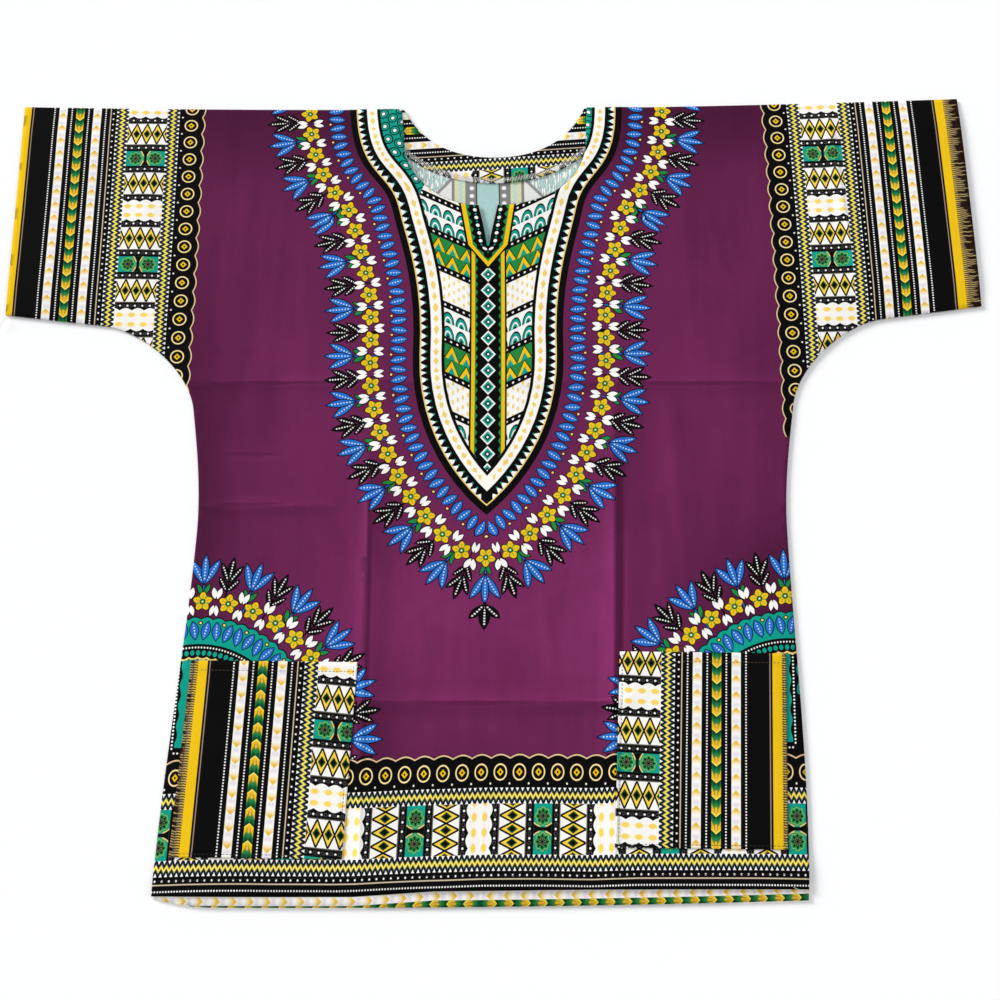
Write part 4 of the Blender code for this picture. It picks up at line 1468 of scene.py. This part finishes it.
def dress(sheet, cuts, layers, upper, lower):
    """Gives each face its finish. upper and lower are functions of place, or one finish."""
    mesh = sheet.data
    for material in FINISHES.values():
        mesh.materials.append(material)
    corners = np.zeros(len(mesh.loops), int)
    mesh.loops.foreach_get("vertex_index", corners)
    starts = np.zeros(len(mesh.polygons), int)
    mesh.polygons.foreach_get("loop_start", starts)
    counts = np.diff(np.append(starts, len(corners)))
    centre = np.add.reduceat(cuts[corners], starts) / counts[:, None] / MM
    layer = np.add.reduceat(layers[corners], starts) / counts
    kinds = np.zeros(len(starts), int)
    for finish, chosen in ((upper, layer > 0.4), (lower, layer <= 0.4)):
        if callable(finish):
            kinds[chosen] = finish(*centre[chosen].T)
        else:
            kinds[chosen] = SLOT_OF[finish]
    mesh.polygons.foreach_set("material_index", kinds)
    return corners, counts, layer


MAP_MARGIN, SHARED_MAP = 0.01, 0.60       # shares of the map; the second where both sides are seen


def bake_map(sheet, cuts, corners, counts, layer, main_upper, second):
    """A map that gives the printed side the most room. second is (scale, right, up) of the
    other side, in shares of the map."""
    low, high = cuts.min(0), cuts.max(0)
    unit = (cuts - low) / (max(high - low) * (1 + 2 * MAP_MARGIN)) + MAP_MARGIN
    scale, *shift = second
    if scale == 1:
        unit = unit * SHARED_MAP
    other = unit * scale + np.array(shift)
    on_main = (layer > 0.05) if main_upper else (layer < 0.95)
    per_corner = np.repeat(on_main, counts)
    places_uv = np.where(per_corner[:, None], unit[corners], other[corners])
    chart = sheet.data.uv_layers.new(name="OFBake")
    chart.data.foreach_set("uv", places_uv.astype(np.float32).ravel())


def area_of(outline):
    sides = zip(outline, outline[1:] + outline[:1])
    return abs(sum(ax * by - bx * ay for (ax, ay), (bx, by) in sides)) / 2


def flat_size(outline):
    return tuple(float(v) for v in np.ptp(np.array(outline), axis=0))


print("the front takes", round(area_of(FRONT_CUT), 3), "m2 of cloth")

# %% Lines that need edges of their own
UNLAY_ROUNDS = 4


def unlay(places):
    """Places on the table back to the cut, closely enough to put an edge there."""
    places = np.array(places)
    cut = places.copy()
    for _ in range(UNLAY_ROUNDS):
        cut = cut + places - lay(cut)
    return cut


def beside(path, offset):
    """The path moved sideways."""
    path = np.array(path)
    run = path[-1] - path[0]
    normal = np.array((run[1], -run[0])) / np.hypot(*run)
    return [tuple(p) for p in unlay(path + normal * offset)]


SHARP_FOLDS = ("left_upright", "right_upright", "chest_level", "hip_level", "right_sleeve")
NARROW_CREASE = 3                         # half width in mm, below which it needs edges of its own
BEFORE, AFTER = 3, 4                      # where a fold's entry keeps how wide its two slopes are
fold_lines = [
    beside(FOLDS[name][:2], share * FOLDS[name][slope]) for name in SHARP_FOLDS
    for slope, share in ((BEFORE, -1), (BEFORE, -0.5), (BEFORE, 0), (AFTER, 0.5), (AFTER, 1))
]
crease_lines = [
    beside(path, share * half_width * MM) for path, _, half_width in CREASES
    if half_width < NARROW_CREASE for share in (-2, -1.2, -0.6, 0, 0.6, 1.2, 2)
]
axis_line = [(YOKE_AXIS * MM, YOKE_TIP * MM), (YOKE_AXIS * MM, 0.2200)]
print("fold lines:", len(fold_lines), "crease lines:", len(crease_lines))

# %% Front and back
FRONT_GRID, BACK_GRID, SMALL_GRID = 4.3 * MM, 6.5 * MM, 3.0 * MM
BACK_DARKENING = 0.85                           # the back's ground is a little darker all over


def back_underside(x, y):
    return x * 0


def back_inside(x, y):
    turned = y < (BACK_HEM_Y + HEM_TURN) / MM
    return np.where(turned, SLOT_OF["hem turn"], SLOT_OF["wrong side"])


cut, faces = filled(FRONT_CUT, FRONT_GRID, fold_lines + crease_lines + [axis_line])
laid = lay(cut).T
# wear with painted crease shade, and the painted light and shade of the front's ground
wear_and_shade, depth = wear_and_shade_of(*laid), light_and_shade_of(*laid)
front, which, layers = thick_sheet("front_cloth", cut, faces, lay, front_underside, CLOTH)
store_print(front, cut, which, body_border, with_rings=True, wear_and_shade=wear_and_shade, depth=depth)
sides = dress(front, cut[which], layers, body_finish, "wrong side")
bake_map(front, cut[which], *sides, main_upper=True, second=(0.19, 0.0, 0.02))

turn_lines = [
    [(x, BACK_HEM_Y + HEM_TURN + offset - RISE[2] * x * x) for x in np.linspace(-0.27, 0.27, 40)]
    for offset in (0.0, HEM_TURN_STEP / 2, HEM_TURN_STEP)
]
cut, faces = filled(BACK_CUT, BACK_GRID, turn_lines + [axis_line])
laid = lay(cut).T
# The back lies flat, so its share of the folds and creases is only painted on: wear, and painted
# light and shade.
wear_and_shade, depth = wear_and_shade_of(*laid), BACK_DARKENING * light_and_shade_of(*laid)
back, which, layers = thick_sheet("back_cloth", cut, faces, lay, back_underside, back_top)
store_print(back, cut, which, body_border, with_rings=True, wear_and_shade=wear_and_shade, depth=depth)
sides = dress(back, cut[which], layers, back_inside, body_finish)
bake_map(back, cut[which], *sides, main_upper=False, second=(1, 0.0, 0.50))

# %% Facing
def facing_underside(x, y):
    return x * 0 + CLOTH + GAP


cut, faces = filled(FACING_CUT, SMALL_GRID)
inner, which, layers = thick_sheet("neck_facing_cloth", cut, faces, lay, facing_underside, CLOTH)
store_print(inner, cut, which, facing_border, with_rings=False)
sides = dress(inner, cut[which], layers, "border", "border")
bake_map(inner, cut[which], *sides, main_upper=True, second=(0.5, 0.2, 0.5))

# %% Pockets
POCKET_HEM, TOPSTITCH = 9.5 * MM, 2.6 * MM


def pocket_thickness(cut):
    """A pocket is thicker at its hem and pulled in along its stitching."""
    x, y = np.abs(cut[:, 0]), cut[:, 1]
    from_edge = np.minimum(POCKET_WIDTH / 2 - x, y + POCKET_HEIGHT / 2)
    from_top = POCKET_HEIGHT / 2 - y
    hem = 0.45 * MM * (1 - smooth((from_top - POCKET_HEM) / (1.2 * MM)))
    stitched = np.exp(-((from_edge - TOPSTITCH) / (1.1 * MM)) ** 2)
    stitched = np.maximum(stitched, np.exp(-((from_top - POCKET_HEM + 1.0 * MM) / (1.0 * MM)) ** 2))
    return CLOTH + hem - 0.30 * MM * stitched


def pocket_lines():
    """Lines beside the stitching, so that the mesh can dip there."""
    half_x, half_y = POCKET_WIDTH / 2, POCKET_HEIGHT / 2
    lines = []
    for inset in (1.3 * MM, TOPSTITCH, 4.0 * MM):
        lines.append([(-half_x + inset, half_y), (-half_x + inset, -half_y + inset),
                      (half_x - inset, -half_y + inset), (half_x - inset, half_y)])
    for inset in (7.2 * MM, 8.5 * MM, POCKET_HEM, 10.8 * MM):
        lines.append([(-half_x, half_y - inset), (half_x, half_y - inset)])
    return lines


pockets = {}
for name, side in (("pocket_left", -1), ("pocket_right", 1)):
    cut, faces = filled(POCKET_CUT, SMALL_GRID, pocket_lines())
    thickness = pocket_thickness(cut)
    patch, which, layers = thick_sheet(
        name + "_cloth", cut, faces, sewn_on(name), pocket_underside, thickness)
    store_print(patch, cut, which, pocket_border(side), with_rings=False)
    sides = dress(patch, cut[which], layers, "border", "border")
    bake_map(patch, cut[which], *sides, main_upper=True, second=(0.12, 0.87, 0.02))
    pockets[name] = patch

# %% Attach each piece, hide the frame's own solid, and print its cut's size
for sheet, node, slot, outline, under in (
    (back, "back", "purple_print", BACK_CUT, "the surface"),
    (front, "front", "purple_print", FRONT_CUT, "back"),
    (inner, "neck_facing", "border_print", FACING_CUT, "back"),
    (pockets["pocket_left"], "pocket_left", "border_print", POCKET_CUT, "front"),
    (pockets["pocket_right"], "pocket_right", "border_print", POCKET_CUT, "front"),
):
    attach(sheet, "root")
    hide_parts(node)
    area_of(outline)
    size = [round(v, 3) for v in flat_size(outline)]
    print(sheet.name, "cut", size, "area", round(area_of(outline), 4), "m2")

# %% [markdown]
# ## Sewing
# The shirt is held together by seams that hardly show: a row of small stitches round each
# pocket, along its hem and along the front's hem, and an overlocked edge where the facing ends
# inside the neck. Each stitch is a short tube that rises out of the cloth and dips back into it.
# They are placed by walking along a path on the cut, so they follow the cloth up and down.

# %% Tubes of thread
def tube(points, radii, sides=6):
    """Vertices and faces of a closed tube through the points."""
    points = np.array(points, float)
    ways = np.gradient(points, axis=0)
    vertices, faces = [tuple(points[0])], []
    for point, way, radius in zip(points[1:-1], ways[1:-1], radii):
        way = way / np.linalg.norm(way)
        side = np.cross(way, (0, 0, 1))
        side = side / np.linalg.norm(side)
        up = np.cross(side, way)
        for i in range(sides):
            turn = 2 * math.pi * i / sides
            vertices.append(tuple(point + radius * (math.cos(turn) * side + math.sin(turn) * up)))
    vertices.append(tuple(points[-1]))
    rings, last = len(points) - 2, len(vertices) - 1
    for i in range(sides):
        j = (i + 1) % sides
        faces.append((0, 1 + j, 1 + i))
        faces.append((last, 1 + (rings - 1) * sides + i, 1 + (rings - 1) * sides + j))
        for ring in range(rings - 1):
            low, high = 1 + ring * sides, 1 + (ring + 1) * sides
            faces.append((low + i, low + j, high + j, high + i))
    return vertices, faces


def thread_piece(name, tubes, material):
    vertices, faces = [], []
    for more_vertices, more_faces in tubes:
        start = len(vertices)
        vertices += more_vertices
        faces += [tuple(start + i for i in face) for face in more_faces]
    mesh = bpy.data.meshes.new(name)
    mesh.from_pydata(vertices, [], faces)
    mesh.shade_smooth()
    mesh.materials.append(material)
    piece = new_object(name, mesh)
    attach(piece, "root")
    print(name, "has", len(tubes), "stitches and", len(faces), "faces")


def stitch_row(path, height_of, length=2.6 * MM, pitch=3.4 * MM, radius=0.26 * MM, across=False):
    """Stitches along a path on the table, or side by side across it."""
    path = np.array(path)
    passed = np.concatenate([[0], np.cumsum(np.hypot(*np.diff(path, axis=0).T))])
    starts = np.arange(0.8 * MM, passed[-1] - length, pitch)
    ends = [np.stack([np.interp(p, passed, path[:, i]) for i in (0, 1)], 1)
            for p in (starts, starts + length)]
    middle, run = (ends[0] + ends[1]) / 2, (ends[1] - ends[0]) / 2
    if across:
        uneven = 1 + 0.25 * np.sin(2.4 * np.arange(len(starts)))
        run = np.stack([-run[:, 1], run[:, 0]], 1) * uneven[:, None]
    spots = middle[:, None] + run[:, None] * np.array((-1, -0.8, -0.35, 0.35, 0.8, 1))[:, None]
    lift = np.array((-0.30, 0.02, 0.16, 0.16, 0.02, -0.30)) * MM
    heights = height_of(spots.reshape(-1, 2)).reshape(spots.shape[:2]) + lift
    return [tube(stitch, [radius * 0.8, radius, radius, radius * 0.8])
            for stitch in np.dstack([spots - MIDDLE, heights])]


print("a stitch has", len(tube([(i, 0, 0) for i in range(6)], [1] * 4)[1]), "faces")

# %% Where the stitching runs
HEM_STITCH, OVERLOCK = 12 * MM, 3.2 * MM  # how far in from the hem, and from the facing's edge


def front_top(spots):
    return front_underside(spots[:, 0], spots[:, 1]) + CLOTH


def inset(path, distance):
    """A path moved to its left."""
    path = np.array(path)
    ways = np.gradient(path, axis=0)
    ways = ways / np.hypot(*ways.T)[:, None]
    return path + distance * np.column_stack([-ways[:, 1], ways[:, 0]])

# %% Pocket stitching
dark_thread, brown_thread, grey_thread, pale_thread = (
    plain_finish(shade + " thread", colour, Roughness=0.6) for shade, colour in (
        ("dark", ink(26, 22, 24)), ("brown", ink(84, 66, 46)),
        ("grey", ink(150, 148, 148)), ("pale", ink(212, 210, 206))))
half_x, half_y = POCKET_WIDTH / 2, POCKET_HEIGHT / 2
in_x, in_y, hem_y = half_x - TOPSTITCH, half_y - TOPSTITCH, half_y - POCKET_HEM + 1 * MM
AROUND_POCKET = [(-in_x, half_y - 1 * MM), (-in_x, -in_y), (in_x, -in_y), (in_x, half_y - 1 * MM)]
ACROSS_POCKET = [(-half_x + 1.5 * MM, hem_y), (half_x - 1.5 * MM, hem_y)]
for name in ("pocket_left", "pocket_right"):
    place = sewn_on(name)

    def pocket_top(spots, place=place):
        origin = place(np.zeros((1, 2)))[0]
        x, y = (spots - origin).T
        cut = np.column_stack([x - POCKET_LEAN * y, y + POCKET_DROP * x])
        return pocket_underside(spots[:, 0], spots[:, 1]) + pocket_thickness(cut)

    for ending, path, radius, colour in (
        ("_topstitch", AROUND_POCKET, 0.22 * MM, dark_thread),
        ("_hem_stitch", ACROSS_POCKET, 0.2 * MM, brown_thread),
    ):
        stitches = stitch_row(place(np.array(path)), pocket_top, radius=radius)
        thread_piece(name + ending, stitches, colour)

# %% Hem stitching and overlock
reach = HEM_HALF - 3 * MM
hem_line = laid_path([(x, front_hem(x) + HEM_STITCH) for x in np.linspace(-reach, reach, 60)])
thread_piece("front_hem_stitch", stitch_row(hem_line, front_top, radius=0.2 * MM), dark_thread)


def facing_top(spots):
    return np.full(len(spots), 2 * CLOTH + GAP)


overlock = FACING_WIDTH - OVERLOCK
edge_line = [p for p in back_neck(overlock, overlock) if p[1] < 0.3500]
ticks = stitch_row(laid_path(edge_line), facing_top, 6.0 * MM, 1.6 * MM, 0.3 * MM, across=True)
thread_piece("facing_overlock", ticks, pale_thread)

# %% The rolled edge of the neckline, and three loose ends of thread
ROLL_RADIUS, ROLL_SINK, LOOSE_RADIUS, LOOSE_BENDS = 0.36 * MM, 0.25 * MM, 0.2 * MM, 14
rolled = laid_path([p for p in front_neck() if p[1] < 0.3800])
rolled = np.array(spaced([tuple(p) for p in rolled], 3 * MM))
line = np.column_stack([rolled - MIDDLE, front_top(rolled) - ROLL_SINK])
thread_piece("neck_roll", [tube(line, np.full(len(line), ROLL_RADIUS))], grey_thread)

LOOSE = {
    "cuff_end": ((-0.4760, 0.1560), (-0.4800, 0.1500), (-0.4812, 0.1440)),
    "hem_end": ((0.2700, -0.3830), (0.2755, -0.3868), (0.2800, -0.3860)),
    "pocket_end": ((-0.1905, -0.1790), (-0.1830, -0.1812), (-0.1760, -0.1850)),
}
for name, path in LOOSE.items():
    knots = (Vector((x, y, 0)) for x, y in (path[0], *path))
    spots = laid_path([(p.x, p.y) for p in interpolate_bezier(*knots, LOOSE_BENDS)])
    arch = 0.9 * MM * np.sin(np.linspace(0, 3.0, len(spots)))
    strand = np.column_stack([spots - MIDDLE, front_top(spots) + LOOSE_RADIUS + arch])
    thread_piece(name, [tube(strand, np.full(LOOSE_BENDS - 2, LOOSE_RADIUS))], pale_thread)

# %% [markdown]
# ## Table, light and camera
# The shirt lies on a plain pale table under soft studio light from the upper left, with a wide
# weak light from the other side. The camera stands over the hem and looks down at the cloth,
# tipped a little towards the neck, so the hem side is nearer and looks a little larger.

# %% Table
TABLE_HALF, TABLE_DROP = 3, 0.2 * MM      # it lies this far below the cloth, so nothing touches
table_mesh = bpy.data.meshes.new("table")
table_mesh.from_pydata(
    [(x * TABLE_HALF, y * TABLE_HALF, 0) for x, y in ((-1, -1), (1, -1), (1, 1), (-1, 1))],
    [], [(0, 1, 2, 3)])
table_mesh.materials.append(plain_finish(
    "pale table", (0.96, 0.96, 0.96, 1), Roughness=0.9, Specular_IOR_Level=0.1))
floor = new_object("table", table_mesh)
floor.location.z = -TABLE_DROP
print("the table is", 2 * TABLE_HALF, "m wide")

# %% Light
def far_light(name, direction, softness, strength):
    """A sun. direction points to it, and softness is how wide it looks, in degrees."""
    light = bpy.data.lights.new(name, "SUN")
    light.angle, light.energy = math.radians(softness), strength
    lamp = new_object(name, light)
    lamp.rotation_euler = Vector(direction).to_track_quat("Z", "Y").to_euler()


far_light("key", (-1.5, 1.05, 0.80), 22, 3.1)
far_light("fill", (1.0, -0.8, 1.6), 40, 0.5)
SKY_COLOUR, SKY_STRENGTH = (0.97, 0.98, 1.0, 1), 0.53
world = bpy.data.worlds.new("studio")
world.use_nodes = True
sky = world.node_tree.nodes["Background"].inputs
sky["Color"].default_value, sky["Strength"].default_value = SKY_COLOUR, SKY_STRENGTH
bpy.context.scene.world = world
print("lights:", sorted(light.name for light in bpy.data.lights))
bpy.context.scene.view_settings.view_transform = "Standard"

# %% Camera
CAMERA_PLACE, CAMERA_TILT, LENS, SENSOR = (0.0079, -0.4130, 1.248), 17.0, 50.0, 36.0
camera_data = bpy.data.cameras.new("camera")
camera_data.lens, camera_data.sensor_width = LENS, SENSOR
camera = new_object("camera", camera_data)
camera.location = CAMERA_PLACE
camera.rotation_euler = (math.radians(CAMERA_TILT), 0, 0)
bpy.context.scene.camera = camera
print("camera at", tuple(round(v, 3) for v in camera.location))

# %% The end
bpy.context.view_layer.update()
